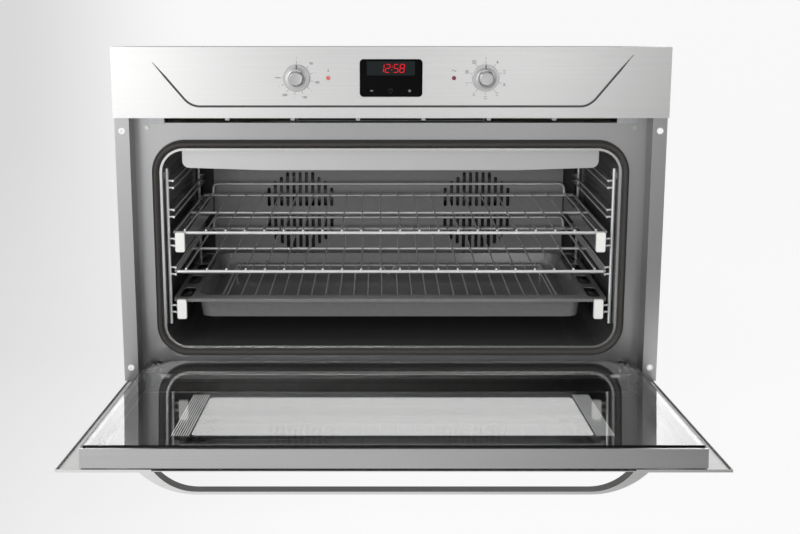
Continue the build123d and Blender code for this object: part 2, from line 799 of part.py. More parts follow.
# Control panel with its pressed line, and the chassis plate that it is fixed to
knob_x = knob_spacing / 2
spindle = 3.0
with BuildPart() as control_panel:
    block((-half_front, half_front), (panel_front, panel_front + sheet), (panel_bottom, front_height))
    side_pair(half_front - sheet, half_front, (panel_front, chassis_front), (panel_bottom, front_height))
    for z in ((panel_bottom, panel_bottom + sheet), (front_height - sheet, front_height)):
        block((-half_front, half_front), (panel_front, chassis_front), z)
    with BuildSketch(facing(panel_front)):
        with Locations((0, knob_height)):
            RectangleRounded(display_width + 2 * seat_gap, display_height + 2 * seat_gap, display_corner)
        with Locations((-knob_x, knob_height), (knob_x, knob_height)):
            Circle(spindle + 1)
        with Locations((-pilot_spacing / 2, knob_height), (pilot_spacing / 2, knob_height)):
            Circle(pilot_radius + seat_gap)
    extrude(amount=-sheet, mode=Mode.SUBTRACT)
    with BuildSketch(facing(panel_front)):
        with BuildLine():
            FilletPolyline(
                (-381, front_height - 24),
                (-327, panel_bottom + crease_low + 6.5),
                (-314, panel_bottom + crease_low),
                (311, panel_bottom + crease_low),
                (324, panel_bottom + crease_low + 7),
                (386, front_height - 12.5),
                radius=8,
            )
        trace(line_width=crease_width)
    extrude(amount=-crease_depth, mode=Mode.SUBTRACT)
control_panel.part.label = "control_panel"
export_step(control_panel.part, "parts/control_panel.step")

with BuildPart() as chassis_plate:
    block((-half_front, half_front), (chassis_front, chassis_front + sheet), (panel_bottom, front_height))
    for x in (-knob_x, knob_x):
        rod_along_y(x, (chassis_front - 1, chassis_front + 2), knob_height, spindle + 1, Mode.SUBTRACT)
chassis_plate.part.label = "chassis_plate"
export_step(chassis_plate.part, "parts/chassis_plate.step")

with BuildPart() as display_glass:
    with BuildSketch(facing(panel_front - 0.5)):
        with Locations((0, knob_height)):
            RectangleRounded(display_width, display_height, display_corner)
    extrude(amount=-3)
display_glass.part.label = "display_glass"
export_step(display_glass.part, "parts/display_glass.step")

with BuildPart() as clock_module:
    block(
        (-46, 46),
        (panel_front + 2.5, chassis_front),
        (knob_height - 26, knob_height + 26),
    )
clock_module.part.label = "clock_module"
export_step(clock_module.part, "parts/clock_module.step")

with BuildPart() as pilot_lenses:
    for x in (-pilot_spacing / 2, pilot_spacing / 2):
        rod_along_y(x, (panel_front - 1.2, chassis_front), knob_height, pilot_radius)
    fillet(pilot_lenses.edges().group_by(Axis.Y)[0], radius=1)
pilot_lenses.part.label = "pilot_lenses"
export_step(pilot_lenses.part, "parts/pilot_lenses.step")

# Knobs with their spindles, and the switch and thermostat that they turn in
switch_front = chassis_front + sheet
spindle_back = switch_front + 14.0
for x, name in ((-knob_x, "thermostat_knob"), (knob_x, "function_knob")):
    with BuildPart() as knob:
        with BuildSketch(Plane(origin=(x, panel_front, knob_height), x_dir=(1, 0, 0), z_dir=(0, 0, 1))):
            with BuildLine():
                Polyline((0, -0.6), (21.5, -0.6), (21.5, -3.2))
                ThreePointArc((21.5, -3.2), (15, -5), (11, -9))
                Polyline((11, -9), (10.6, -20.6), (9.6, -21.6), (0, -21.6), (0, -0.6))
            make_face()
        revolve(axis=Axis((x, panel_front, knob_height), (0, 1, 0)))
        block(
            (x - 0.6, x + 0.6),
            (panel_front - 22, panel_front - 21.2),
            (knob_height + 2, knob_height + 10),
            Mode.SUBTRACT,
        )
        rod_along_y(x, (panel_front - 1, spindle_back), knob_height, spindle)
    knob.part.label = name
    export_step(knob.part, f"parts/{name}.step")

for x, name, half, depth in ((-knob_x, "thermostat", 20, 34), (knob_x, "function_switch", 22, 40)):
    with BuildPart() as control:
        body_depth = (switch_front, switch_front + depth)
        block((x - half, x + half), body_depth, (knob_height - half, knob_height + half))
        bore_depth = (switch_front - 1, spindle_back + 2)
        rod_along_y(x, bore_depth, knob_height, spindle + pin_clearance, Mode.SUBTRACT)
    control.part.label = name
    export_step(control.part, f"parts/{name}.step")

bulb_top = frame_top + 33.0
bulb_level = cavity_top - 24.0
capillary_end = switch_front + 20.0
with BuildPart() as thermostat_bulb:
    with BuildLine() as tube:
        FilletPolyline(
            (bulb_x + 30, bulb_y, bulb_level),
            (bulb_x, bulb_y, bulb_level),
            (bulb_x, bulb_y, bulb_top),
            (bulb_x, capillary_end, bulb_top),
            (bulb_x, capillary_end, knob_height),
            (-knob_x - 20, capillary_end, knob_height),
            radius=8,
        )
    with BuildSketch(Plane(origin=tube.line @ 0, z_dir=tube.line % 0)):
        Circle(capillary)
    sweep()
    rod_along_x((bulb_x + 26, bulb_x + 120), bulb_y, bulb_level, 3)
thermostat_bulb.part.label = "thermostat_bulb"
export_step(thermostat_bulb.part, "parts/thermostat_bulb.step")

# Cooling blower over the cavity and the slot it blows through, under the control panel
duct_back = frame_back + 24.0
duct_top = panel_bottom - sheet
bridge_pitch = 107.5
bridge_half = 3.5
bridge_y = (frame_front - 10, frame_front - 2)  # behind the closed door
with BuildPart() as vent_strip:
    block((-duct_half, duct_half), (chassis_front + sheet, duct_back), (duct_top - sheet, duct_top))
    under = (frame_top + weld_gap, duct_top - sheet - weld_gap)
    side_pair(duct_half - duct_tab, duct_half, (bridge_y[0], bridge_y[0] + 2 * sheet), under)
    side_pair(duct_half - sheet, duct_half, (frame_back, duct_back), under)
    bridge_height = (frame_top + 5.0, duct_top - sheet - weld_gap)
    for number in range(6):
        across = (number - 2.5) * bridge_pitch
        block((across - bridge_half, across + bridge_half), bridge_y, bridge_height)
vent_strip.part.label = "vent_strip"
export_step(vent_strip.part, "parts/vent_strip.step")

wheel_y = duct_back + 78.0
wheel_height = frame_top + 48.0
wheel_radius = 27.0
scroll_rise = 34.0  # wheel axis to the top of the scroll
wheel_half = 150.0
scroll_half = wheel_half + 6
floor_line = [
    (duct_back + 1, frame_top),
    (wheel_y + 10, frame_top),
    (wheel_y + 46, wheel_height - 14),
    (wheel_y + 46, wheel_height + scroll_rise),
]
roof_line = [
    (duct_back + 1, duct_top - sheet),
    (duct_back + 26, duct_top + 6),
    (wheel_y - 34, wheel_height + 4),
]
with BuildPart() as blower_housing:
    with BuildSketch(Plane.YZ):
        for line in (floor_line, roof_line):
            with BuildLine() as edge:
                Polyline(*line)
            trace(edge.line, line_width=sheet)
    extrude(amount=scroll_half, both=True)
    for start in (-scroll_half - sheet, scroll_half):
        with BuildSketch(Plane.YZ.offset(start)):
            with BuildLine():
                crest = (wheel_y - 20, wheel_height + scroll_rise)
                Polyline(*floor_line, crest, *roof_line[::-1], close=True)
            make_face()
            with Locations((wheel_y, wheel_height)):
                Circle(shaft_radius + pin_clearance, mode=Mode.SUBTRACT)
        extrude(amount=sheet)
blower_housing.part.label = "blower_housing"
export_step(blower_housing.part, "parts/blower_housing.step")

blower_motor_front = scroll_half + sheet
with BuildPart() as blower_wheel:
    for x in (-wheel_half, 0, wheel_half - 2):
        rod_along_x((x, x + 2), wheel_y, wheel_height, wheel_radius)
    with Locations(Location((0, wheel_y, wheel_height), (0, 90, 0))):
        with PolarLocations(wheel_radius - 4, 20):
            Box(7, 1, 2 * wheel_half, rotation=(0, 0, 30))
    rod_along_x((-scroll_half - 4, blower_motor_front + 30), wheel_y, wheel_height, shaft_radius)
blower_wheel.part.label = "blower_wheel"
export_step(blower_wheel.part, "parts/blower_wheel.step")

with BuildPart() as blower_motor:
    rod_along_x((blower_motor_front, blower_motor_front + 44), wheel_y, wheel_height, wheel_radius)
    rod_along_x(
        (blower_motor_front - 1, blower_motor_front + 31),
        wheel_y,
        wheel_height,
        shaft_radius + pin_clearance,
        Mode.SUBTRACT,
    )
blower_motor.part.label = "blower_motor"
export_step(blower_motor.part, "parts/blower_motor.step")

with BuildPart() as terminal_block:
    block(
        (inlet_x - 36, inlet_x + 36),
        (housing_back - sheet - 28, housing_back - sheet),
        (inlet_height - 20, inlet_height + 20),
    )
    rod_along_y(inlet_x, (housing_back - sheet, housing_back), inlet_height, inlet_radius - seat_gap)
    rod_along_y(inlet_x, (housing_back - 12, housing_back), inlet_height, 5, Mode.SUBTRACT)
terminal_block.part.label = "terminal_block"
export_step(terminal_block.part, "parts/terminal_block.step")

with BuildPart() as housing_screws:
    for x in (screw_in - inner_side, inner_side - screw_in):
        for row in screw_rows:
            rod_along_z(x, row, (housing_height, housing_height + 2), 2 * screw_radius)
            rod_along_z(x, row, (housing_height - 6, housing_height), screw_radius)
    for x in (-tab_screw_x, tab_screw_x):
        rod_along_y(x, (frame_front - 2, frame_front), tab_screw_height, 2 * screw_radius)
        rod_along_y(x, (frame_front, frame_front + 6), tab_screw_height, screw_radius)
housing_screws.part.label = "housing_screws"
export_step(housing_screws.part, "parts/housing_screws.step")

# Hinges: arms out of receptacles behind the frame, reaching to the door's pivots
hinge_y = panel_front + pivot_back
arm_half = 8.0
with BuildPart() as hinge_arms:
    for x in (-hinge_x, hinge_x):
        with BuildSketch(Plane.YZ.offset(x)):
            with Locations((hinge_y, pivot_height)):
                Circle(arm_half)
            with Locations(((hinge_y + frame_back + 50) / 2, pivot_height)):
                Rectangle(frame_back + 50 - hinge_y, 2 * arm_half)
            with Locations((hinge_y, pivot_height)):
                Circle(hinge_pin + pin_clearance, mode=Mode.SUBTRACT)
        extrude(amount=hinge_plate / 2, both=True)
hinge_arms.part.label = "hinge_arms"
export_step(hinge_arms.part, "parts/hinge_arms.step")

with BuildPart() as hinge_receptacles:
    for x in (-hinge_x, hinge_x):
        arm = hinge_plate / 2
        for wall in ((x - arm - 2, x - arm), (x + arm, x + arm + 2)):
            block(wall, (frame_back, frame_back + 60), (frame_bottom + 6, pivot_height + 20))
        block((x - arm, x + arm), (frame_back + 50, frame_back + 60), (frame_bottom + 6, pivot_height + 20))
hinge_receptacles.part.label = "hinge_receptacles"
export_step(hinge_receptacles.part, "parts/hinge_receptacles.step")

# Door, drawn upright about its hinge axis: Y inwards, Z from the hinge to the door's top.
# The leaf plane turns all of it down to the open position.
leaf_angle = radians(open_angle)
leaf = Plane(
    origin=(0, hinge_y, pivot_height),
    x_dir=(1, 0, 0),
    z_dir=(0, -sin(leaf_angle), cos(leaf_angle)),
)


def leaf_facing(y):
    """The plane across the door at depth y from the hinge axis, normal to its outside."""
    return Plane(leaf.location * facing(y).location)


def leaf_level(z):
    """The plane across the door's thickness at z from the hinge axis, normal to its top."""
    return Plane(leaf.location * Plane.XY.offset(z).location)


skin_front = -pivot_back
skin_back = skin_front + sheet
glass_back = door_thickness - pivot_back
glass_front = glass_back - glass
leaf_top = panel_bottom - door_gap - pivot_height
leaf_bottom = door_bottom - pivot_height
leaf_half = half_recess - door_side_gap
rail_front = skin_back + seat_gap
rail_back = glass_front - seat_gap
rail_in = leaf_half - rail_thickness
cross_rail = 62.0
screw_x = 328.0
screw_z = leaf_top - handle_below_top
window_middle = (window_low + window_high) / 2
window_height = window_high - window_low
with BuildPart(leaf) as door_skin:
    block((-half_front, half_front), (skin_front, skin_back), (leaf_bottom, leaf_top))
    side_pair(half_front - sheet, half_front, (skin_back, skin_front + skin_fold), (leaf_bottom, leaf_top))
    for z in ((leaf_bottom, leaf_bottom + sheet), (leaf_top - sheet, leaf_top)):
        block((-half_front, half_front), (skin_back, skin_front + skin_fold), z)
    with BuildSketch(leaf_facing(skin_front)):
        with Locations((0, window_middle)):
            RectangleRounded(2 * window_half, window_height, 8)
        with Locations((-screw_x, screw_z), (screw_x, screw_z)):
            Circle(2 + seat_gap)
    extrude(amount=-sheet, mode=Mode.SUBTRACT)
    with BuildSketch(leaf_facing(skin_front)):
        with Locations((0, leaf_top - grip_cut / 2)):
            Rectangle(2 * grip_half, grip_cut)
    extrude(amount=-skin_fold, mode=Mode.SUBTRACT)
door_skin.part.label = "door_skin"
export_step(door_skin.part, "parts/door_skin.step")

with BuildPart() as door_window:
    with BuildSketch(leaf_facing(skin_back)):
        with Locations((0, window_middle)):
            RectangleRounded(2 * (window_half + pane_border), window_height + 24, 8)
    extrude(amount=-glass)
door_window.part.label = "door_window"
export_step(door_window.part, "parts/door_window.step")

with BuildPart(leaf) as door_frame:
    frame_height = (leaf_bottom + 2, leaf_top - top_rail_height - seat_gap)
    side_pair(rail_in, leaf_half, (rail_front, rail_back), frame_height)
    hollow = (leaf_bottom, leaf_top)
    side_pair(rail_in, leaf_half - sheet, (rail_front + sheet, rail_back - sheet), hollow, Mode.SUBTRACT)
    for y in ((rail_front, rail_front + sheet), (rail_back - sheet, rail_back)):
        block((-rail_in, rail_in), y, (cross_rail, cross_rail + 6))
        block((20 - hinge_x, hinge_x - 20), y, (leaf_bottom + 2, cross_rail))
    block((20 - hinge_x, hinge_x - 20), (rail_front, rail_back), (leaf_bottom + 2, leaf_bottom + 2 + sheet))
door_frame.part.label = "door_frame"
export_step(door_frame.part, "parts/door_frame.step")

with BuildPart(leaf) as door_top_rail:
    block(
        (-leaf_half, leaf_half),
        (glass_front - 1.2 - top_rail_depth, glass_front - 1.2),
        (leaf_top - top_rail_height, leaf_top),
    )
door_top_rail.part.label = "door_top_rail"
export_step(door_top_rail.part, "parts/door_top_rail.step")

with BuildPart(leaf) as middle_glass:
    pane_half = leaf_half - sheet - seat_gap
    block((-pane_half, pane_half), (-2, 1), (cross_rail + 12, leaf_top - top_rail_height - seat_gap))
middle_glass.part.label = "middle_glass"
export_step(middle_glass.part, "parts/middle_glass.step")

glass_half = leaf_half - 5.0
with BuildPart() as inner_glass:
    with BuildSketch(leaf_facing(glass_front)):
        with BuildLine():
            Polyline(
                (-glass_half, leaf_top),
                (glass_half, leaf_top),
                (glass_half, 40),
                (glass_half - 40, leaf_bottom + 4),
                (40 - glass_half, leaf_bottom + 4),
                (-glass_half, 40),
                close=True,
            )
        make_face()
    extrude(amount=-glass)
inner_glass.part.label = "inner_glass"
export_step(inner_glass.part, "parts/inner_glass.step")

foot_in = grip_half
grip_front = skin_front - handle_standoff
grip_back = grip_front + handle_bar
with BuildPart() as door_handle:
    with BuildSketch(leaf_level(screw_z - handle_width / 2)):
        with BuildLine():
            outer_left = Line((handle_straight, grip_front), (-handle_straight, grip_front))
            outer_end = TangentArc(outer_left @ 1, (-handle_half, skin_front), tangent=(-1, 0))
            Line(outer_end @ 1, (-foot_in, skin_front))
            TangentArc((-handle_straight, grip_back), (-foot_in, skin_front), tangent=(-1, 0))
            Line((-handle_straight, grip_back), (handle_straight, grip_back))
            TangentArc((handle_straight, grip_back), (foot_in, skin_front), tangent=(1, 0))
            Line((foot_in, skin_front), (handle_half, skin_front))
            TangentArc((handle_straight, grip_front), (handle_half, skin_front), tangent=(1, 0))
        make_face()
    extrude(amount=handle_width)
    for x in (-screw_x, screw_x):
        with BuildSketch(leaf_facing(skin_front)):
            with Locations((x, screw_z)):
                Circle(2 + seat_gap)
        extrude(amount=6 + seat_gap, mode=Mode.SUBTRACT)
door_handle.part.label = "door_handle"
export_step(door_handle.part, "parts/door_handle.step")

with BuildPart(leaf) as handle_screws:
    for x in (-screw_x, screw_x):
        rod_along_y(x, (skin_back, skin_back + 3), screw_z, 5)
        rod_along_y(x, (skin_front - 6, skin_back), screw_z, 2)
handle_screws.part.label = "handle_screws"
export_step(handle_screws.part, "parts/handle_screws.step")

cheek = 3.0
with BuildPart(leaf) as hinge_brackets:
    for side in (-1, 1):
        for start in (-hinge_plate / 2 - play - cheek, hinge_plate / 2 + play):
            wall = sorted((side * (hinge_x + start), side * (hinge_x + start + cheek)))
            block(wall, (rail_front, rail_back), (-7, 60))
            rod_along_x(wall, 0, 0, hinge_pin + pin_clearance, Mode.SUBTRACT)
        reach = hinge_plate / 2 + play
        block((side * hinge_x - reach, side * hinge_x + reach), (rail_front, rail_front + 2), (14, 60))
hinge_brackets.part.label = "hinge_brackets"
export_step(hinge_brackets.part, "parts/hinge_brackets.step")

with BuildPart(leaf) as hinge_pins:
    for side in (-1, 1):
        outside = hinge_x + hinge_plate / 2 + play + cheek
        inside = hinge_x - hinge_plate / 2 - play - cheek
        rod_along_x(sorted((side * (inside - 1), side * outside)), 0, 0, hinge_pin)
        rod_along_x(sorted((side * (inside - 2.2), side * inside)), 0, 0, hinge_pin + 1.5)
hinge_pins.part.label = "hinge_pins"
export_step(hinge_pins.part, "parts/hinge_pins.step")
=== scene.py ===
# Built-in oven with its door open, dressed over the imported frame. Metres, Z up, front towards -Y.
import json
from math import cos, pi, radians, sin

import bmesh
import bpy
import numpy as np
from mathutils import Matrix, Vector


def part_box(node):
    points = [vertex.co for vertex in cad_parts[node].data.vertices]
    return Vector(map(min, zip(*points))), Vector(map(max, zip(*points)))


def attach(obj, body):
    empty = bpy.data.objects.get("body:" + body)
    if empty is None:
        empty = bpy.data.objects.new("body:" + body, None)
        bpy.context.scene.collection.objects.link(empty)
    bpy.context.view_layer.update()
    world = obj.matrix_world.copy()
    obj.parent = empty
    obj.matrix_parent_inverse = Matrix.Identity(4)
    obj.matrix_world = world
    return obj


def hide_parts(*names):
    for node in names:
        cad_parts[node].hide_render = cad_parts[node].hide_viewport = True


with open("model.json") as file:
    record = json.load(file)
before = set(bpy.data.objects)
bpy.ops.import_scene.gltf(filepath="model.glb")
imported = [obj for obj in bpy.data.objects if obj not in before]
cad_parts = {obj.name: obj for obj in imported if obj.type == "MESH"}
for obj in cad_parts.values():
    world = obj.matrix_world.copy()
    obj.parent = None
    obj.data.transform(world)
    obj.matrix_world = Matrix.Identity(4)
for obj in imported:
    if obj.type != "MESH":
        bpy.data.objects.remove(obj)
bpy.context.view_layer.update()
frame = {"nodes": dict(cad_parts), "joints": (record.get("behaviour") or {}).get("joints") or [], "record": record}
nodes = frame["nodes"]
joints = {joint["name"]: joint for joint in frame["joints"]}
scene = bpy.context.scene
print("frame loaded:", len(nodes), "nodes")

# Planes that the new pieces are placed by, all read from the frame
panelLow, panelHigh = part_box("control_panel")
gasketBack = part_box("door_gasket")[1].y
panelFront = panelLow.y
knobCentres = {
    "thermostat": Vector(joints["thermostat_knob_turn"]["pos_m"]),
    "function": Vector(joints["function_knob_turn"]["pos_m"]),
}


def newGroup(name, inputs, outputs):
    group = bpy.data.node_groups.new(name, "ShaderNodeTree")
    for label, kind, value in inputs:
        group.interface.new_socket(label, in_out="INPUT", socket_type=kind).default_value = value
    for label, kind in outputs:
        group.interface.new_socket(label, in_out="OUTPUT", socket_type=kind)
    return group, group.nodes.new("NodeGroupInput"), group.nodes.new("NodeGroupOutput")


def addNode(tree, kind, inputs=None, **settings):
    # Inputs are given by name or number, as a value or as another node's output
    node = tree.nodes.new(kind)
    for key, value in settings.items():
        setattr(node, key, value)
    for key, value in (inputs or {}).items():
        if isinstance(value, bpy.types.NodeSocket):
            tree.links.new(value, node.inputs[key])
        else:
            node.inputs[key].default_value = value
    return node


def addMath(tree, operation, first, second=0.0, third=0.0):
    return addNode(tree, "ShaderNodeMath", {0: first, 1: second, 2: third}, operation=operation).outputs[0]


def addRamp(tree, value, low, high, first, last, **settings):
    # Goes from first to last while the value goes from low to high
    places = {"Value": value, "From Min": low, "From Max": high, "To Min": first, "To Max": last}
    return addNode(tree, "ShaderNodeMapRange", places, **settings).outputs[0]


def axisOf(tree, vector, axis):
    return addNode(tree, "ShaderNodeSeparateXYZ", {0: vector}).outputs[axis]


def mixColours(tree, factor, first, second):
    return addNode(tree, "ShaderNodeMix", {0: factor, 6: first, 7: second}, data_type="RGBA").outputs[2]


def makeGrainGroup():
    # Grain is noise stretched by scaling the object coordinates
    group, entry, leave = newGroup(
        "brushedGrain", [("Stretch", "NodeSocketVector", (4.0, 700.0, 700.0))], [("Grain", "NodeSocketFloat")]
    )
    place = addNode(group, "ShaderNodeTexCoord").outputs["Object"]
    scaled = addNode(group, "ShaderNodeVectorMath", {0: place, 1: entry.outputs[0]}, operation="MULTIPLY")
    grain = addNode(group, "ShaderNodeTexNoise", {"Vector": scaled.outputs[0], "Scale": 1.0, "Detail": 3.0})
    group.links.new(grain.outputs["Fac"], leave.inputs["Grain"])
    return group


def makeCloudGroup():
    # Two colours mixed by soft noise, and the noise itself for roughness and height
    group, entry, leave = newGroup(
        "cloudTone",
        [
            ("Scale", "NodeSocketFloat", 60.0),
            ("Dark", "NodeSocketColor", (0.1, 0.1, 0.1, 1.0)),
            ("Light", "NodeSocketColor", (0.2, 0.2, 0.2, 1.0)),
        ],
        [("Color", "NodeSocketColor"), ("Value", "NodeSocketFloat")],
    )
    place = addNode(group, "ShaderNodeTexCoord").outputs["Object"]
    noise = addNode(group, "ShaderNodeTexNoise", {"Vector": place, "Scale": entry.outputs[0], "Detail": 5.0})
    colour = mixColours(group, noise.outputs["Fac"], entry.outputs["Dark"], entry.outputs["Light"])
    group.links.new(colour, leave.inputs["Color"])
    group.links.new(noise.outputs["Fac"], leave.inputs["Value"])
    return group


def makeSpangleGroup():
    # Zinc crystals: cells of different tone, with soft noise inside them
    group, entry, leave = newGroup(
        "zincSpangle",
        [
            ("Scale", "NodeSocketFloat", 90.0),
            ("Dark", "NodeSocketColor", (0.4, 0.4, 0.42, 1.0)),
            ("Light", "NodeSocketColor", (0.6, 0.6, 0.62, 1.0)),
        ],
        [("Color", "NodeSocketColor"), ("Value", "NodeSocketFloat")],
    )
    place = addNode(group, "ShaderNodeTexCoord").outputs["Object"]
    cells = addNode(group, "ShaderNodeTexVoronoi", {"Vector": place, "Scale": entry.outputs[0]})
    tone = addNode(group, "ShaderNodeSeparateColor", {0: cells.outputs["Color"]}).outputs[0]
    noise = addNode(group, "ShaderNodeTexNoise", {"Vector": place, "Scale": entry.outputs[0], "Detail": 2.0})
    both = addMath(group, "MULTIPLY_ADD", tone, 0.5, addMath(group, "MULTIPLY", noise.outputs["Fac"], 0.5))
    colour = mixColours(group, both, entry.outputs["Dark"], entry.outputs["Light"])
    group.links.new(colour, leave.inputs["Color"])
    group.links.new(both, leave.inputs["Value"])
    return group


grainGroup = makeGrainGroup()
cloudGroup = makeCloudGroup()
spangleGroup = makeSpangleGroup()


def newFinish(name, look):
    finish = bpy.data.materials.new(name)
    finish.use_nodes = True
    tree = finish.node_tree
    shader = tree.nodes["Principled BSDF"]
    for socket, value in look.items():
        shader.inputs[socket].default_value = value
    return finish, tree, shader


def placeGroup(tree, group, values):
    return addNode(tree, "ShaderNodeGroup", values, node_tree=group)


def setRoughness(tree, shader, value, middle, spread):
    # Roughness is the middle value, moved up and down by the noise
    swing = addMath(tree, "MULTIPLY_ADD", value, spread, middle - spread / 2)
    tree.links.new(swing, shader.inputs["Roughness"])


def setBump(tree, shader, value, height, strength):
    bump = addNode(tree, "ShaderNodeBump", {"Height": value, "Distance": height, "Strength": strength})
    tree.links.new(bump.outputs["Normal"], shader.inputs["Normal"])


# Facing is the least upward part of a surface's normal that counts as a top or as the inside of the door or
# handle.
# Paint and shadow is how much of the metal's look is taken away there: paint in the door, painted shadow on the
# handle.
steelGrain = {"stretch": (4.0, 700.0, 700.0), "height": 0.00001, "bump": 0.35, "spread": 0.12,
              "shadedTopFacing": 0.8, "insideFacing": 0.5, "paintAndShadow": 0.9}
cloudBump = 0.3


def brushedFinish(name, dark, light, roughness, topShade=None, inside=None):
    # Steel with fine parallel lines. Tops may have their own tone, a painted shade. So may the inside of the door,
    # which is painted within a distance of the middle and bare steel, its rim tone, beyond it. The handle's inner
    # side is darkened the same way, as a painted shadow.
    finish, tree, shader = newFinish(name, {"Metallic": 1.0})
    grain = placeGroup(tree, grainGroup, {"Stretch": steelGrain["stretch"]})
    tone = mixColours(tree, grain.outputs["Grain"], (*dark, 1.0), (*light, 1.0))
    if topShade or inside:
        place = addNode(tree, "ShaderNodeTexCoord").outputs
        upward = axisOf(tree, place["Normal"], "Z")
    if topShade:
        top = addMath(tree, "GREATER_THAN", upward, steelGrain["shadedTopFacing"])
        tone = mixColours(tree, top, tone, (*topShade, 1.0))
    if inside:
        facing = addMath(tree, "GREATER_THAN", upward, steelGrain["insideFacing"])
        across = addMath(tree, "ABSOLUTE", axisOf(tree, place["Object"], "X"))
        paintAndShadowMask = addMath(tree, "MULTIPLY", addMath(tree, "LESS_THAN", across, inside["half"]), facing)
        if "rim" in inside:
            tone = mixColours(tree, facing, tone, (*inside["rim"], 1.0))
        tone = mixColours(tree, paintAndShadowMask, tone, (*inside["tone"], 1.0))
        metal = addMath(tree, "MULTIPLY_ADD", paintAndShadowMask, -steelGrain["paintAndShadow"], 1.0)
        tree.links.new(metal, shader.inputs["Metallic"])
    tree.links.new(tone, shader.inputs["Base Color"])
    setRoughness(tree, shader, grain.outputs["Grain"], roughness, steelGrain["spread"])
    setBump(tree, shader, grain.outputs["Grain"], steelGrain["height"], steelGrain["bump"])
    return finish


def cloudyFinish(name, dark, light, scale, roughness, spread, height, look=None, group=None, part=None):
    # An even finish with clouds of tone. A part of it, told by its place, may have another tone. A part told by
    # the way it faces takes another tone as painted shade.
    finish, tree, shader = newFinish(name, look or {})
    tones = {"Scale": scale, "Dark": (*dark, 1.0), "Light": (*light, 1.0)}
    cloud = placeGroup(tree, group or cloudGroup, tones)
    tone = cloud.outputs["Color"]
    if part:
        kind = part.get("of", "Object")
        along = axisOf(tree, addNode(tree, "ShaderNodeTexCoord").outputs[kind], part["axis"])
        if kind == "Normal":
            along = addMath(tree, "ABSOLUTE", along)
        mask = addMath(tree, part["test"], along, part["from"])
        tone = mixColours(tree, mask, tone, (*part["tone"], 1.0))
        if "metallic" in part:
            tree.links.new(addMath(tree, "MULTIPLY", mask, part["metallic"]), shader.inputs["Metallic"])
    tree.links.new(tone, shader.inputs["Base Color"])
    setRoughness(tree, shader, cloud.outputs["Value"], roughness, spread)
    if height:
        setBump(tree, shader, cloud.outputs["Value"], height, cloudBump)
    return finish


smear = {"scale": 3.0, "tone": 0.985}


def glassFinish(name, tint, bending):
    # Clear glass, a little darker where the noise is low, as faint smears on it are
    look = {"Transmission Weight": 1.0, "IOR": bending, "Roughness": 0.0, "Metallic": 0.0}
    finish, tree, shader = newFinish(name, look)
    smeared = (*(smear["tone"] * part for part in tint), 1.0)
    cloud = placeGroup(tree, cloudGroup, {"Scale": smear["scale"], "Dark": smeared, "Light": (*tint, 1.0)})
    tree.links.new(cloud.outputs["Color"], shader.inputs["Base Color"])
    return finish


# The panel's top faces take a dark grey: painted shade on its thin top edge.
brushedSteel = brushedFinish("brushedSteelPanelShadedTop", (0.72, 0.72, 0.715), (0.82, 0.82, 0.815), 0.34,
                             topShade=(0.17, 0.17, 0.17))
skinSteel = brushedFinish("brushedSteelDoor", (0.72, 0.72, 0.715), (0.82, 0.82, 0.815), 0.34,
                          inside={"half": 0.414, "tone": (0.02, 0.02, 0.021), "rim": (0.21, 0.21, 0.207)})
# The handle's inner side, facing up with the door open, is painted near black: a painted shadow.
handleSteelShadedInside = brushedFinish("brushedSteelHandleShadedInside", (0.74, 0.74, 0.735), (0.84, 0.84, 0.835), 0.3,
                            inside={"half": 1.0, "tone": (0.035, 0.034, 0.032)})
railSteel = brushedFinish("brushedSteelRail", (0.47, 0.47, 0.47), (0.55, 0.55, 0.55), 0.36)
doorFrameSteel = brushedFinish("brushedSteelDoorFrame", (0.5, 0.5, 0.5), (0.58, 0.58, 0.58), 0.36,
                               inside={"half": 0.42, "tone": (0.02, 0.02, 0.021)})
knobSteel = cloudyFinish("turnedKnobSteel", (0.52, 0.52, 0.52), (0.6, 0.6, 0.6), 40.0, 0.32, 0.05, 0.0,
                         {"Metallic": 1.0})
# Faces looking along X, the walls of the recess, take a darker tone: painted shade.
frameSteelShadedWalls = cloudyFinish("satinFrameSteelShadedWalls", (0.42, 0.42, 0.425), (0.46, 0.46, 0.465), 9.0, 0.33, 0.08, 0.0,
                          {"Metallic": 0.9}, part={"of": "Normal", "axis": "X", "test": "GREATER_THAN",
                                                   "from": 0.8, "tone": (0.28, 0.28, 0.28)})
galvanised = cloudyFinish("galvanisedSheet", (0.42, 0.43, 0.44), (0.62, 0.63, 0.64), 95.0, 0.45, 0.25,
                          0.00004, {"Metallic": 0.8}, spangleGroup)
enamel = cloudyFinish("darkEnamel", (0.045, 0.045, 0.046), (0.065, 0.065, 0.067), 60.0, 0.24, 0.06, 0.0,
                      part={"axis": "Y", "test": "LESS_THAN", "from": -0.2385, "tone": (0.6, 0.6, 0.59),
                            "metallic": 0.9})
trayEnamel = cloudyFinish("trayEnamel", (0.15, 0.15, 0.152), (0.19, 0.19, 0.193), 120.0, 0.24, 0.06, 0.0,
                          {"Coat Weight": 0.5, "Coat Roughness": 0.1})
deflectorSteel = cloudyFinish("deflectorSheet", (0.60, 0.60, 0.60), (0.66, 0.66, 0.66), 9.0, 0.38, 0.08, 0.0,
                              {"Metallic": 0.9})
coverEnamel = cloudyFinish("coverEnamel", (0.21, 0.21, 0.212), (0.25, 0.25, 0.252), 60.0, 0.32, 0.08, 0.0)
rubber = cloudyFinish("sealRubber", (0.028, 0.026, 0.024), (0.05, 0.047, 0.043), 900.0, 0.5, 0.15, 0.0001)
wool = cloudyFinish("mineralWool", (0.42, 0.36, 0.2), (0.62, 0.56, 0.36), 260.0, 0.95, 0.05, 0.001)
chromeWire = cloudyFinish("chromeWire", (0.8, 0.8, 0.805), (0.9, 0.9, 0.905), 30.0, 0.2, 0.08, 0.0,
                          {"Metallic": 0.65})
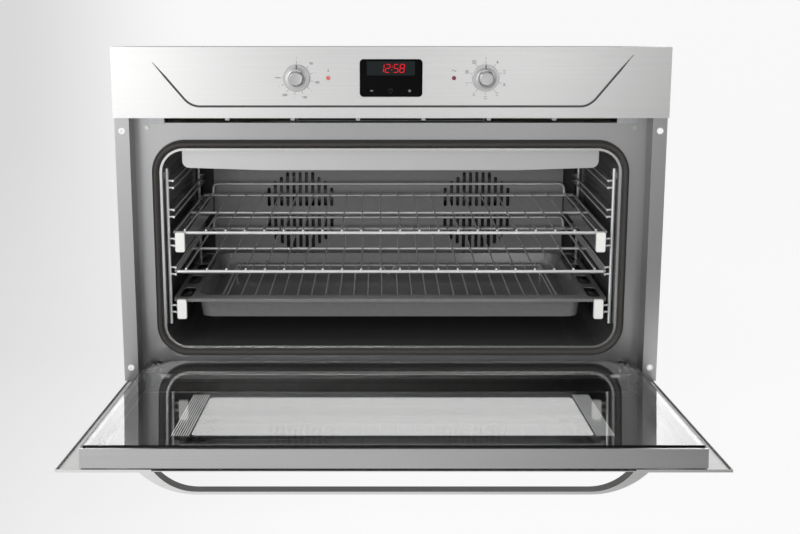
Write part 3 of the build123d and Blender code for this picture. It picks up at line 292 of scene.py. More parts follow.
slideSteel = cloudyFinish("slideSteel", (0.45, 0.45, 0.46), (0.62, 0.62, 0.63), 50.0, 0.25, 0.12, 0.00003,
                          {"Metallic": 1.0})
platedSteel = cloudyFinish("platedSteel", (0.45, 0.45, 0.46), (0.65, 0.64, 0.6), 120.0, 0.3, 0.15, 0.00003,
                           {"Metallic": 1.0})
wheelMetal = cloudyFinish("fanWheelMetal", (0.1, 0.1, 0.102), (0.24, 0.24, 0.243), 80.0, 0.25, 0.15, 0.0,
                          {"Metallic": 1.0})
motorPaint = cloudyFinish("motorPaint", (0.03, 0.03, 0.032), (0.06, 0.06, 0.062), 60.0, 0.4, 0.1, 0.00005)
heaterSheath = cloudyFinish("heaterSheath", (0.03, 0.027, 0.025), (0.075, 0.068, 0.06), 140.0, 0.6, 0.2,
                            0.0001)
creamPlastic = cloudyFinish("creamPlastic", (0.83, 0.825, 0.8), (0.89, 0.885, 0.86), 40.0, 0.35, 0.08, 0.0)
whitePlastic = cloudyFinish("whitePlastic", (0.84, 0.84, 0.835), (0.9, 0.9, 0.895), 40.0, 0.5, 0.08, 0.0)
blackPlastic = cloudyFinish("blackPlastic", (0.012, 0.012, 0.012), (0.022, 0.022, 0.022), 200.0, 0.45, 0.1,
                            0.00005)
displayBlack = cloudyFinish("displayBlack", (0.001, 0.001, 0.0012), (0.003, 0.003, 0.0035), 4.0, 0.05, 0.02,
                            0.0, {"Specular IOR Level": 0.06})
displayWindow = cloudyFinish("displayWindow", (0.010, 0.013, 0.013), (0.014, 0.018, 0.018), 900.0, 0.3,
                             0.05, 0.0, {"Specular IOR Level": 0.06})
# Pale ink for the window lines, with a faint glow that is painted light.
paleInkPaintedGlow = cloudyFinish("paleInkPaintedGlow", (0.5, 0.5, 0.5), (0.6, 0.6, 0.6), 200.0, 0.5, 0.1, 0.0,
                       {"Emission Color": (1.0, 1.0, 1.0, 1.0), "Emission Strength": 0.5})
grooveShade = cloudyFinish("grooveShade", (0.045, 0.045, 0.045), (0.06, 0.06, 0.06), 60.0, 0.6, 0.1, 0.0)
printInk = cloudyFinish("printInk", (0.08, 0.08, 0.082), (0.12, 0.12, 0.122), 200.0, 0.5, 0.1, 0.0)
touchInk = cloudyFinish("touchInk", (0.2, 0.21, 0.22), (0.3, 0.31, 0.32), 200.0, 0.5, 0.1, 0.0)
redLens = cloudyFinish("redLens", (0.55, 0.09, 0.05), (0.75, 0.16, 0.09), 160.0, 0.2, 0.05, 0.0,
                       part={"axis": "X", "test": "GREATER_THAN", "from": 0.0, "tone": (0.16, 0.01, 0.03)})
digitGlow = cloudyFinish("digitGlow", (0.3, 0.005, 0.01), (0.4, 0.01, 0.015), 300.0, 0.4, 0.05, 0.0,
                         {"Emission Color": (0.62, 0.006, 0.02, 1.0), "Emission Strength": 1.0,
                          "Specular IOR Level": 0.0})
innerGlass = glassFinish("innerDoorGlass", (0.98, 0.985, 0.98), 1.32)
middleGlass = glassFinish("middleDoorGlass", (0.99, 0.99, 0.99), 1.04)
outerGlass = glassFinish("outerDoorGlass", (0.98, 0.985, 0.975), 1.12)
print("finishes made:", len(bpy.data.materials))

nodeFinishes = {
    brushedSteel: ["control_panel"],
    skinSteel: ["door_skin"],
    handleSteelShadedInside: ["door_handle"],
    railSteel: ["door_top_rail"],
    doorFrameSteel: ["door_frame"],
    knobSteel: ["function_knob", "thermostat_knob"],
    frameSteelShadedWalls: ["front_frame", "hinge_brackets", "hinge_receptacles"],
    galvanised: ["housing_base", "housing_left_side", "housing_right_side", "housing_top",
                 "housing_back_panel", "chassis_plate", "vent_strip", "blower_housing"],
    enamel: ["cavity_shell"],
    coverEnamel: ["fan_cover"],
    trayEnamel: ["baking_tray"],
    deflectorSteel: ["grill_deflector"],
    rubber: ["door_gasket"],
    wool: ["insulation_blanket"],
    chromeWire: ["upper_shelf", "lower_shelf", "left_ladder", "right_ladder", "tray_insert"],
    slideSteel: ["fixed_slides", "tray_middle_slides", "tray_slides", "shelf_middle_slides", "shelf_slides"],
    platedSteel: ["ladder_screws", "housing_screws", "handle_screws", "hinge_arms", "thermostat_bulb"],
    wheelMetal: ["left_fan_wheel", "right_fan_wheel", "blower_wheel"],
    motorPaint: ["fan_motors", "blower_motor"],
    heaterSheath: ["ring_elements", "grill_element", "floor_element"],
    creamPlastic: ["tray_tabs", "shelf_tabs"],
    whitePlastic: ["flange_bushes", "hinge_pins"],
    blackPlastic: ["clock_module", "function_switch", "thermostat", "terminal_block"],
    displayBlack: ["display_glass"],
    redLens: ["pilot_lenses"],
    innerGlass: ["inner_glass"],
    middleGlass: ["middle_glass"],
    outerGlass: ["door_window"],
}
finishOf = {name: finish for finish, names in nodeFinishes.items() for name in names}
for name, node in nodes.items():
    node.data.materials.clear()
    node.data.materials.append(finishOf[name])
print("nodes dressed:", len(finishOf))

bodyOf = {name: body for body, names in frame["record"]["behaviour"]["bodies"].items() for name in names}


def addPiece(name, mesh, finish, body, replaced=(), smooth=None):
    piece = bpy.data.objects.new(name, mesh)
    scene.collection.objects.link(piece)
    mesh.materials.append(finish)
    if smooth:
        with bpy.context.temp_override(object=piece, active_object=piece, selected_objects=[piece],
                                       selected_editable_objects=[piece]):
            bpy.ops.object.shade_smooth_by_angle(angle=radians(smooth))
    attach(piece, body)
    if replaced:
        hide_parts(*replaced)
    return piece


mergeWithin = 0.000002
soften = {"flat": 0.8, "sharp": 35.0, "smooth": 32.0, "segments": 2}


def softenNode(name, width):
    # A merged copy of a CAD node, flat faces joined, every sharp edge rolled to a small radius
    mesh = nodes[name].data.copy()
    mesh.name = name + "Soft"
    mesh.materials.clear()
    work = bmesh.new()
    work.from_mesh(mesh)
    bmesh.ops.remove_doubles(work, verts=work.verts, dist=mergeWithin)
    bmesh.ops.dissolve_limit(work, angle_limit=radians(soften["flat"]), verts=work.verts, edges=work.edges)
    sharp = [edge for edge in work.edges if edge.calc_face_angle(0.0) > radians(soften["sharp"])]
    bmesh.ops.bevel(work, geom=sharp, offset=width, segments=soften["segments"], profile=0.5,
                    affect="EDGES", clamp_overlap=True)
    work.to_mesh(mesh)
    work.free()
    piece = addPiece(name + "Soft", mesh, finishOf[name], bodyOf[name], [name],
                     soften["smooth"])
    piece.modifiers.new("evenNormals", "WEIGHTED_NORMAL").keep_sharp = True
    return piece


def gridMesh(name, points, closeRows, closeColumns, capEnds=False):
    # Quads over a grid of points shaped (rows, columns, 3), joined round where it closes
    rows, columns = points.shape[:2]
    row = np.arange(rows if closeRows else rows - 1)
    column = np.arange(columns if closeColumns else columns - 1)
    a, b = np.meshgrid(row, column, indexing="ij")
    c, d = (a + 1) % rows, (b + 1) % columns
    quads = np.stack([a * columns + b, c * columns + b, c * columns + d, a * columns + d], axis=-1)
    faces = quads.reshape(-1, 4).tolist()
    if capEnds:
        faces += [list(range(columns))[::-1], list(range((rows - 1) * columns, rows * columns))]
    mesh = bpy.data.meshes.new(name)
    mesh.from_pydata(points.reshape(-1, 3).tolist(), [], faces)
    return mesh


def joinMeshes(name, meshes, merge=mergeWithin):
    # One mesh of all, doubles merged and faces turned outwards
    work = bmesh.new()
    for mesh in meshes:
        work.from_mesh(mesh)
        bpy.data.meshes.remove(mesh)
    bmesh.ops.remove_doubles(work, verts=work.verts, dist=merge)
    bmesh.ops.recalc_face_normals(work, faces=work.faces)
    joined = bpy.data.meshes.new(name)
    work.to_mesh(joined)
    work.free()
    return joined


def bendPath(corners, radius, steps=8, closed=False):
    # Straight runs whose corners are quadratic curves that start and end one radius from the corner
    corners = np.asarray(corners, float)
    count = len(corners)
    pieces = []
    for number in range(count):
        corner = corners[number]
        if not closed and number in (0, count - 1):
            pieces.append(corner[None])
            continue
        before, after = corners[number - 1] - corner, corners[(number + 1) % count] - corner
        start = corner + before / np.linalg.norm(before) * radius
        end = corner + after / np.linalg.norm(after) * radius
        t = np.linspace(0, 1, steps)[:, None]
        pieces.append((1 - t) ** 2 * start + 2 * t * (1 - t) * corner + t**2 * end)
    return np.concatenate(pieces)


def tubeMesh(name, path, radius, up, sides=12, closed=False):
    # A circle of that radius, which may change, carried along the path, square to its tangent, turned by up
    path = np.asarray(path, float)
    radius = np.broadcast_to(radius, len(path))[:, None, None]
    if closed:
        tangent = np.roll(path, -1, axis=0) - np.roll(path, 1, axis=0)
    else:
        tangent = np.gradient(path, axis=0)
    tangent /= np.linalg.norm(tangent, axis=1)[:, None]
    side = np.cross(tangent, np.asarray(up, float))
    side /= np.linalg.norm(side, axis=1)[:, None]
    rise = np.cross(side, tangent)
    angle = np.linspace(0, 2 * pi, sides, endpoint=False)
    ring = side[:, None] * np.cos(angle)[None, :, None] + rise[:, None] * np.sin(angle)[None, :, None]
    return gridMesh(name, path[:, None] + radius * ring, closed, True, capEnds=not closed)


def latheMesh(name, profile, centre, sides):
    # Radius and depth pairs turned once round the line through centre that points to the front
    profile = np.asarray(profile, float)
    angle = np.linspace(0, 2 * pi, sides, endpoint=False)
    radius = profile[:, 0][:, None]
    points = np.stack(
        [
            centre.x + radius * np.sin(angle),
            np.broadcast_to(profile[:, 1][:, None], (len(profile), sides)),
            centre.z + radius * np.cos(angle),
        ],
        axis=-1,
    )
    return gridMesh(name, points, False, True)


def strokeMesh(name, runs, width, front, depth, grow=0.35):
    # Each run is a flat bar between two points of the panel, a little longer than the run at both ends
    runs = np.asarray(runs, float)
    along = runs[:, 1] - runs[:, 0]
    along /= np.linalg.norm(along, axis=1)[:, None]
    across = np.stack([-along[:, 1], along[:, 0]], axis=1) * width / 2
    start, end = runs[:, 0] - along * width * grow, runs[:, 1] + along * width * grow
    corners = np.stack([start - across, end - across, end + across, start + across], axis=1)
    near = np.insert(corners, 1, front, axis=2)
    far = np.insert(corners, 1, front + depth, axis=2)
    points = np.concatenate([near, far], axis=1).reshape(-1, 3)
    box = np.array([[0, 1, 2, 3], [7, 6, 5, 4], [0, 4, 5, 1], [1, 5, 6, 2], [2, 6, 7, 3], [3, 7, 4, 0]])
    faces = (box[None] + 8 * np.arange(len(runs))[:, None, None]).reshape(-1, 4)
    mesh = bpy.data.meshes.new(name)
    mesh.from_pydata(points.tolist(), [], faces.tolist())
    return mesh


def runsOf(points, closed=False):
    points = np.asarray(points, float)
    following = np.roll(points, -1, axis=0)
    pairs = np.stack([points, following], axis=1)
    return pairs if closed else pairs[:-1]


def ringRuns(radius, count):
    angle = np.linspace(0, 2 * pi, count, endpoint=False)
    return runsOf(np.stack([np.cos(angle), np.sin(angle)], axis=1) * radius, True)


# Rolled edges on the pieces whose outline is seen from close by
edgeRadii = {
    "control_panel": 0.0007,
    "door_skin": 0.0005,
    "door_handle": 0.0008,
    "door_top_rail": 0.0006,
    "front_frame": 0.0004,
    "fan_cover": 0.0004,
    "baking_tray": 0.0008,
    "display_glass": 0.0004,
    "inner_glass": 0.0004,
    "grill_deflector": 0.0003,
    "cavity_shell": 0.0006,
    "vent_strip": 0.0003,
    "chassis_plate": 0.0004,
}
for name, width in edgeRadii.items():
    softenNode(name, width)
print("edges rolled:", len(edgeRadii))

# Door seal: a soft bulb on a flat foot round the mouth. Pinch is how much narrower the bulb is than its foot.
seal = {"mouthHalf": 0.3795, "floor": 0.084, "roof": 0.421, "corner": 0.037, "inner": 0.0042, "wide": 0.0135,
        "high": 0.0124, "pinch": 0.12, "power": 0.8, "foot": 0.0001, "steps": 14, "sides": 36}


def sealPath(grow):
    # The rounded outline of the mouth: four quarter circles joined by straight runs
    half, corner = seal["mouthHalf"] - seal["corner"], seal["corner"] + grow
    angles = np.linspace(0, pi / 2, seal["steps"])
    points, normals = [], []
    for turn, x, z in ((0, half, seal["roof"]), (1, -half, seal["roof"]), (2, -half, seal["floor"]),
                       (3, half, seal["floor"])):
        z += -seal["corner"] if turn < 2 else seal["corner"]
        angle = angles + turn * pi / 2
        normal = np.stack([np.cos(angle), np.sin(angle)], axis=1)
        points.append(np.array([x, z]) + normal * corner)
        normals.append(normal)
    return np.concatenate(points), np.concatenate(normals)


def sealMesh():
    # Across is a cosine, height is a power of the sine, so the bulb is full and its foot is flat
    points, normals = sealPath(seal["inner"] + seal["wide"] / 2)
    angle = np.linspace(0, 2 * pi, seal["sides"], endpoint=False)
    across = np.cos(angle) * seal["wide"] / 2 * (1 - seal["pinch"] * np.clip(np.sin(angle), 0, 1))
    high = np.where(np.sin(angle) > 0, np.abs(np.sin(angle)) ** seal["power"], 0.0) * seal["high"]
    grid = np.zeros((len(points), len(angle), 3))
    grid[:, :, 0] = points[:, 0][:, None] + normals[:, 0][:, None] * across
    grid[:, :, 2] = points[:, 1][:, None] + normals[:, 1][:, None] * across
    grid[:, :, 1] = gasketBack - high - seal["foot"] * (np.sin(angle) < 0)
    return joinMeshes("doorSealMesh", [gridMesh("sealPart", grid, True, True)], 0.0)


addPiece("doorSeal", sealMesh(), rubber, "housing", ["door_gasket"], smooth=50)
print("door seal made")

# Door window: fine light lines printed on the pane, left and right of the clear part. They glow a little, as
# painted light.
windowPrint = {"open": 85.0, "from": 0.2925, "to": 0.3165, "count": 8, "wide": 0.0016, "ends": 0.004,
               "lift": 0.00008}


def windowPrintMesh():
    # Boxes drawn on the upright pane, then turned down with the leaf about the hinge axis
    w = windowPrint
    leaf = Matrix.Translation(joints["door_hinge"]["pos_m"]) @ Matrix.Rotation(radians(w["open"]), 4, "X")
    upright = np.array(leaf.inverted())
    vertices = nodes["door_window"].data.vertices
    pane = np.empty(len(vertices) * 3)
    vertices.foreach_get("co", pane)
    pane = pane.reshape(-1, 3) @ upright[:3, :3].T + upright[:3, 3]
    inside, low, high = pane[:, 1].max(), pane[:, 2].min() + w["ends"], pane[:, 2].max() - w["ends"]
    places = np.linspace(w["from"], w["to"], w["count"])
    places = np.concatenate([-places, places])
    ends = [np.stack([places, np.full_like(places, level)], axis=1) for level in (low, high)]
    front = inside + w["lift"] / 2
    mesh = strokeMesh("windowPrintMesh", np.stack(ends, axis=1), w["wide"], front, w["lift"], 0.0)
    mesh.transform(leaf)
    return joinMeshes("windowPrintMesh", [mesh], 0.0)


addPiece("windowPrint", windowPrintMesh(), paleInkPaintedGlow, "door")
print("window lines printed")

# Wire shelves: a bent frame, two cross bars, thin wires on top and a guard raised at the back. Each thin
# wire ends in a bead of weld, given by places along it and by radii, as shares of the bead's radius.
shelfWires = {"rod": 0.003, "bar": 0.0028, "wire": 0.0015, "bead": 0.0024, "edgeWire": 0.002, "count": 20,
              "pitch": 0.0328, "edgeIn": 0.0184, "lastIn": 0.006, "frontLap": 0.001, "backLap": 0.002,
              "guardIn": 0.019, "corner": 0.009, "guardCorner": 0.012, "rodSides": 14, "wireSides": 8,
              "beadPlaces": (-1.0, -0.87, -0.5, 0.0, 0.5, 0.82), "beadRadii": (0.15, 0.5, 0.87, 1.0, 0.87)}


def shelfMesh(name, low, high):
    w = shelfWires
    level = low.z + w["rod"]
    left, right, front, back = low.x + w["rod"], high.x - w["rod"], low.y + w["rod"], high.y - w["rod"]
    corners = [(left, front, level), (right, front, level), (right, back, level), (left, back, level)]
    around = bendPath(corners, w["corner"], closed=True)
    parts = [tubeMesh("part", around, w["rod"], (0, 0, 1), w["rodSides"], True)]
    last = back - w["lastIn"]
    for y in ((front + last) / 2, last):
        bar = [(left, y, level), (0, y, level), (right, y, level)]
        parts.append(tubeMesh("part", bar, w["bar"], (0, 0, 1)))
    top = level + w["bar"] + w["wire"]
    bead = w["bead"]
    reach = front - bead * 0.5 + bead * np.array(w["beadPlaces"])
    swell = np.concatenate([bead * np.array(w["beadRadii"]), [w["wire"]] * 3])
    for number in range(w["count"]):
        x = (number - (w["count"] - 1) / 2) * w["pitch"]
        line = [(x, y, top) for y in (*reach, (front + last) / 2, last + w["backLap"])]
        parts.append(tubeMesh("part", line, swell, (0, 0, 1), w["wireSides"]))
    top = level + w["bar"] + w["edgeWire"]
    for x in (left + w["edgeIn"], right - w["edgeIn"]):
        line = [(x, front - w["frontLap"], top), (x, last + w["backLap"], top)]
        parts.append(tubeMesh("part", line, w["edgeWire"], (0, 0, 1)))
    x = right - w["guardIn"]
    crest = high.z - w["rod"]
    posts = [(-x, back, level), (-x, back, crest), (x, back, crest), (x, back, level)]
    parts.append(tubeMesh("part", bendPath(posts, w["guardCorner"]), w["bar"], (0, 1, 0)))
    return joinMeshes(name, parts, 0.0)


for name, body in (("upper_shelf", "upper_shelf_body"), ("lower_shelf", "lower_shelf_body")):
    mesh = shelfMesh(name + "Wires", *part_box(name))
    addPiece(name + "Wires", mesh, chromeWire, body, [name], smooth=50)
print("shelves made")

# Knobs: a dished skirt, a cap with a chamfered edge and the spindle behind them. A ring is how far it is
# inside the skirt or the cap, and how far in front of the panel.
knob = {"skirt": 0.0215, "cap": 0.0110, "spindle": 0.0030, "spindleBack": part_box("function_knob")[1].y,
        "sides": 96, "skirtRings": ((0.0, 0.0006), (0.0, 0.0030), (0.0003, 0.0037)),
        "dishIn": 0.0008, "dishFoot": 0.0006, "dishFront": 0.0040, "dishDip": 0.0004, "dishRise": 0.0012,
        "footRise": 0.0016, "footPower": 12, "dishSteps": 24,
        "capRings": ((0.0, 0.0085), (0.0004, 0.0206), (0.0008, 0.0213), (0.0014, 0.0216)),
        "face": ((0.006, 0.0214), (0.0, 0.0213)),
        "pointer": (0.0152, 0.0204), "pointerWide": 0.0019, "pointerFront": 0.0048, "pointerDeep": 0.0014}


def knobProfile():
    # Radius and depth: spindle, skirt edge, dish, cap wall, chamfer, slightly hollow face. The dish dips as
    # a sine, rises evenly, and its foot at the cap rises as a high power of the way.
    k, front = knob, panelFront
    way = np.linspace(0, 1, k["dishSteps"])
    radius = k["skirt"] - k["dishIn"] + (k["cap"] + k["dishFoot"] - k["skirt"] + k["dishIn"]) * way
    depth = front - k["dishFront"] + k["dishDip"] * np.sin(pi * way) - k["dishRise"] * way
    depth -= k["footRise"] * way ** k["footPower"]
    axle = [(0.0, k["spindleBack"]), (k["spindle"], k["spindleBack"]),
            (k["spindle"], front - k["skirtRings"][0][1])]
    skirt = [(k["skirt"] - ring, front - ahead) for ring, ahead in k["skirtRings"]]
    cap = [(k["cap"] - ring, front - ahead) for ring, ahead in k["capRings"]]
    face = [(ring, front - ahead) for ring, ahead in k["face"]]
    return np.array(axle + skirt + list(zip(radius, depth)) + cap + face)


for kind, body in (("thermostat", "thermostat_knob_body"), ("function", "function_knob_body")):
    centre = knobCentres[kind]
    mesh = joinMeshes(kind + "KnobMesh", [latheMesh("knobPart", knobProfile(), centre, knob["sides"])])
    addPiece(kind + "KnobSkirt", mesh, knobSteel, body, [kind + "_knob"], smooth=28)
    marks = [[(centre.x, centre.z + end) for end in knob["pointer"]]]
    mesh = strokeMesh(kind + "PointerMesh", marks, knob["pointerWide"], panelFront - knob["pointerFront"],
                      knob["pointerDeep"])
    addPiece(kind + "Pointer", mesh, printInk, body)
print("knobs made")

# Dial prints: ticks, dots, numbers and plain function signs, in millimetres round each knob
printDepth = 0.00012
dial = {"front": panelFront - printDepth, "line": 0.55, "tick": (23.2, 26.6), "far": 31.5,
        "zeroTick": (23.2, 27.6), "zeroDot": (32.4, 33.6), "offTick": (23.2, 34.0), "offWedge": (27.0, 34.0),
        "dot": (31.1, 31.9), "numberAt": 33.1, "numbers": ("50", "100", "150", "200"), "first": 45.0,
        "step": 28.4, "digitHigh": 2.9, "digitWide": 1.7, "digitGap": 0.9}
digitLines = {
    "0": [(0, 0), (1, 0), (1, 1), (0, 1), (0, 0)],
    "1": [(0.5, 0), (0.5, 1), (0.2, 0.75)],
    "2": [(1, 0), (0, 0), (0, 0.15), (1, 0.7), (1, 1), (0, 1)],
    "5": [(0, 0), (1, 0), (1, 0.55), (0, 0.55), (0, 1), (1, 1)],
}
smallFan = [[(-1.6, -1.6), (1.6, 1.6)], [(-1.6, 1.6), (1.6, -1.6)]]
functionSigns = [
    [[(0, -1.8), (0, 1.8)]],
    [[(-1.5, -1.5), (0, 2), (1.5, -1.5), (-1.5, -1.5)], [(0, -1), (0, 1)]],
    [[(-2, 2.2), (-1, 2.8), (1, 2.8), (2, 2.2)], [(-1.6, 0), (1.6, 0)], [(-2, -2.2), (2, -2.2)]],
    [*smallFan, [(-2.2, -2.2), (2.2, -2.2)]],
    [[(-2.2, 2.1), (2.2, 2.1)], [(-2.2, -2.1), (2.2, -2.1)], [(0, -0.6), (0, 0.6)]],
    [[(-2.2, 2), (2.2, 2)], [(-2.2, -2), (-1.1, -1), (0, -2), (1.1, -1), (2.2, -2)]],
    [[(-2.2, -2), (2.2, -2)], [(-1.4, 0.2), (0, 1.4), (1.4, 0.2)]],
    [[(-2.2, 2), (2.2, 2)], [(-0.5, -1.4), (0.5, -1.4)]],
    [*smallFan, [(2.6 * cos(a), 2.6 * sin(a)) for a in np.linspace(0, 2 * pi, 17)]],
    [*smallFan, [(-2.5, -2.5), (2.5, -2.5), (2.5, 2.5), (-2.5, 2.5), (-2.5, -2.5)]],
]


def aroundKnob(angle, distance):
    # Clockwise from the top, in millimetres
    return np.array([sin(radians(angle)), cos(radians(angle))]) * distance


def numberRuns(text, middle):
    wide, high = dial["digitWide"], dial["digitHigh"]
    pitch = wide + dial["digitGap"]
    runs = []
    for place, digit in enumerate(text):
        offset = middle + np.array([(place - (len(text) - 1) / 2) * pitch - wide / 2, -high / 2])
        runs.append(runsOf(np.array(digitLines[digit]) * (wide, high) + offset))
    return np.concatenate(runs)


def addPrint(name, runs, centre, width, front, finish):
    # Millimetre runs round a centre, put on the panel as one mesh
    runs = np.concatenate([np.asarray(run, float).reshape(-1, 2, 2) for run in runs]) / 1000
    runs += np.array([centre.x, centre.z])
    mesh = strokeMesh(name + "Mesh", runs, width / 1000, front, printDepth)
    return addPiece(name, mesh, finish, "housing")


def tickRuns(angle, reach=dial["tick"]):
    return [aroundKnob(angle, distance) for distance in reach]


thermostatPrint = [tickRuns(0, dial["zeroTick"]), tickRuns(270, dial["offTick"]),
                   tickRuns(272, dial["offWedge"]), tickRuns(0, dial["zeroDot"])]
for number in range(2 * len(dial["numbers"])):
    angle = dial["first"] + number * dial["step"]
    thermostatPrint.append(tickRuns(angle))
    if number % 2:
        thermostatPrint.append(tickRuns(angle, dial["dot"]))
    else:
        place = aroundKnob(angle, dial["numberAt"])
        thermostatPrint.append(numberRuns(dial["numbers"][number // 2], place))
addPrint("thermostatDial", thermostatPrint, knobCentres["thermostat"], dial["line"], dial["front"], printInk)

functionPrint = []
for number, sign in enumerate(functionSigns):
    angle = 360 / len(functionSigns) * number
    functionPrint.append(tickRuns(angle))
    middle = aroundKnob(angle, dial["far"])
    functionPrint += [runsOf(np.array(line) + middle) for line in sign]
addPrint("functionDial", functionPrint, knobCentres["function"], dial["line"], dial["front"], printInk)

# Over the left pilot lamp a small thermometer, over the right one a wave
pilots = {"aside": 0.1005, "signRise": 0.0118, "line": 0.75}
pilotSigns = {
    "left": (-1, [[(0, -0.5), (0, 3)], [(-0.7, -1.3), (0.7, -1.3)], [(-0.7, -0.6), (0.7, -0.6)]]),
    "right": (1, [[(-3.2, -0.6), (-2, 1.2), (-0.8, 0.8), (0.8, -0.8), (2, -1.2), (3.2, 0.6)]]),
}
for side, (way, sign) in pilotSigns.items():
    place = Vector((way * pilots["aside"], 0, knobCentres["function"].z + pilots["signRise"]))
    runs = [runsOf(np.array(line)) for line in sign]
    addPrint(side + "PilotSign", runs, place, pilots["line"], dial["front"], printInk)
print("dials printed")

# Pressed line: the shadow in the groove, thin at both ends. Its corners are given from the panel's top.
pressed = {"corners": ((-0.381, -0.024), (-0.327, -0.0885), (-0.314, -0.095), (0.311, -0.095),
                       (0.324, -0.088), (0.386, -0.0125)), "radius": 0.008, "wide": 0.0035, "taper": 0.03,
           "least": 0.15, "deep": 0.00045, "proud": 0.00005, "bendSteps": 10, "endSteps": 12, "endShare": 0.9}


def pressedMesh():
    # A ribbon along the rounded path, whose width grows evenly from each end until it is full
    p = pressed
    path = bendPath(np.array(p["corners"]) + (0.0, panelHigh.z), p["radius"], p["bendSteps"])
    first = path[:1] + (path[1] - path[0]) * np.linspace(0, p["endShare"], p["endSteps"])[:, None]
    last = path[-2:-1] + (path[-1] - path[-2]) * np.linspace(1 - p["endShare"], 1, p["endSteps"])[:, None]
    path = np.concatenate([first, path[1:-1], last])
    way = np.concatenate([[0.0], np.cumsum(np.linalg.norm(np.diff(path, axis=0), axis=1))])
    wide = p["wide"] * np.clip(np.minimum(way, way[-1] - way) / p["taper"], p["least"], 1.0)
    tangent = np.gradient(path, axis=0)
    tangent /= np.linalg.norm(tangent, axis=1)[:, None]
    across = np.stack([-tangent[:, 1], tangent[:, 0]], axis=1) * wide[:, None] / 2
    rows = np.stack([path - across, path + across, path + across, path - across], axis=1)
    depth = panelFront - p["proud"] + np.array([0.0, 0.0, 1.0, 1.0]) * p["deep"]
    grid = np.stack([rows[..., 0], np.broadcast_to(depth, rows.shape[:2]), rows[..., 1]], axis=-1)
    return joinMeshes("pressedLineMesh", [gridMesh("linePart", grid, False, True, True)], 0.0)


addPiece("pressedLine", pressedMesh(), grooveShade, "housing", smooth=40)
print("pressed line made")

# Clock: a smoked window, slanted seven-line digits that glow, and three touch signs. Lengths are in
# millimetres, except the clock's level and the place of the touch signs.
clock = {"level": 0.5610, "window": (-31.0, 30.0), "windowHigh": 22.4, "digitHigh": 12.8, "digitWide": 6.8,
         "slant": 0.12, "line": 1.15, "inset": 1.0, "places": (-18.5, -9.0, 4.4, 14.2), "text": "1258",
         "colonAt": 1.3, "colonRise": 2.4, "colonHalf": 0.3}
touch = {"at": (-0.0008, 0.0, 0.5252), "line": 1.5, "ring": 2.9, "ringSides": 24,
         "minus": ((-32.0, 0), (-28.5, 0)), "plus": (((28.7, 0), (32.3, 0)), ((30.5, -1.8), (30.5, 1.8)))}
segmentEnds = {"a": ((0, 2), (1, 2)), "b": ((1, 2), (1, 1)), "c": ((1, 1), (1, 0)), "d": ((0, 0), (1, 0)),
               "e": ((0, 1), (0, 0)), "f": ((0, 2), (0, 1)), "g": ((0, 1), (1, 1))}
segmentsLit = {"1": "bc", "2": "abged", "5": "afgcd", "8": "abcdefg"}
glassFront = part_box("display_glass")[0].y
clockCentre = Vector((0.0, 0.0, clock["level"]))
addPrint("clockWindow", [[(end, 0.0) for end in clock["window"]]], clockCentre, clock["windowHigh"],
         glassFront - printDepth, displayWindow)
digitRuns = []
for digit, place in zip(clock["text"], clock["places"]):
    for letter in segmentsLit[digit]:
        ends = np.array(segmentEnds[letter], float) * (clock["digitWide"], clock["digitHigh"] / 2)
        inset = (ends[1] - ends[0]) / np.linalg.norm(ends[1] - ends[0]) * clock["inset"]
        ends += np.array([inset, -inset])
        ends[:, 1] -= clock["digitHigh"] / 2
        ends[:, 0] += place + ends[:, 1] * clock["slant"]
        digitRuns.append(ends)
for rise in (-clock["colonRise"], clock["colonRise"]):
    x = clock["colonAt"] + rise * clock["slant"]
    digitRuns.append([(x, rise - clock["colonHalf"]), (x, rise + clock["colonHalf"])])
addPrint("clockDigits", digitRuns, clockCentre, clock["line"], glassFront - 2 * printDepth, digitGlow)
touchRuns = [ringRuns(touch["ring"], touch["ringSides"]), [touch["minus"]], touch["plus"]]
addPrint("touchSigns", touchRuns, Vector(touch["at"]), touch["line"], glassFront - printDepth, touchInk)
print("clock made")

# Mineral wool: four mats round the cavity, full in the middle and soft at the edges
mats = {"edge": 0.16, "lump": 0.0009, "waves": ((9, 5), (23, -11)), "rows": 60, "columns": 120,
        "merge": 0.00001, "inner": 0.3812, "roof": 0.4227, "floor": 0.0823}
elementHollow = {"half": 0.33, "from": -0.18, "top": 0.0695}


def matMesh(name, low, high, hollow=None):
    # A box rounded as a superellipsoid: powers of sines and cosines, with small waves added to its size
    low, high = np.array(low), np.array(high)
    middle, half = (low + high) / 2, (high - low) / 2 - mats["lump"]
    tall = np.linspace(-pi / 2, pi / 2, mats["rows"])[:, None]
    turn = np.linspace(-pi, pi, mats["columns"], endpoint=False)[None, :]
    power = mats["edge"]

    def soft(value):
        return np.sign(value) * np.abs(value) ** power

    waves = mats["lump"] / 2 * sum(np.sin(along * turn + up * tall) for along, up in mats["waves"])
    unit = np.stack([soft(np.cos(tall)) * soft(np.cos(turn)), soft(np.cos(tall)) * soft(np.sin(turn)),
                     soft(np.sin(tall)) * np.ones_like(turn)], axis=-1)
    points = middle + unit * (half + waves[..., None])
    if hollow:
        inside = (np.abs(points[..., 0]) < hollow["half"]) & (points[..., 1] > hollow["from"])
        points[..., 2] = np.where(inside, np.minimum(points[..., 2], hollow["top"]), points[..., 2])
    return joinMeshes(name, [gridMesh("matPart", points, False, True, True)], mats["merge"])


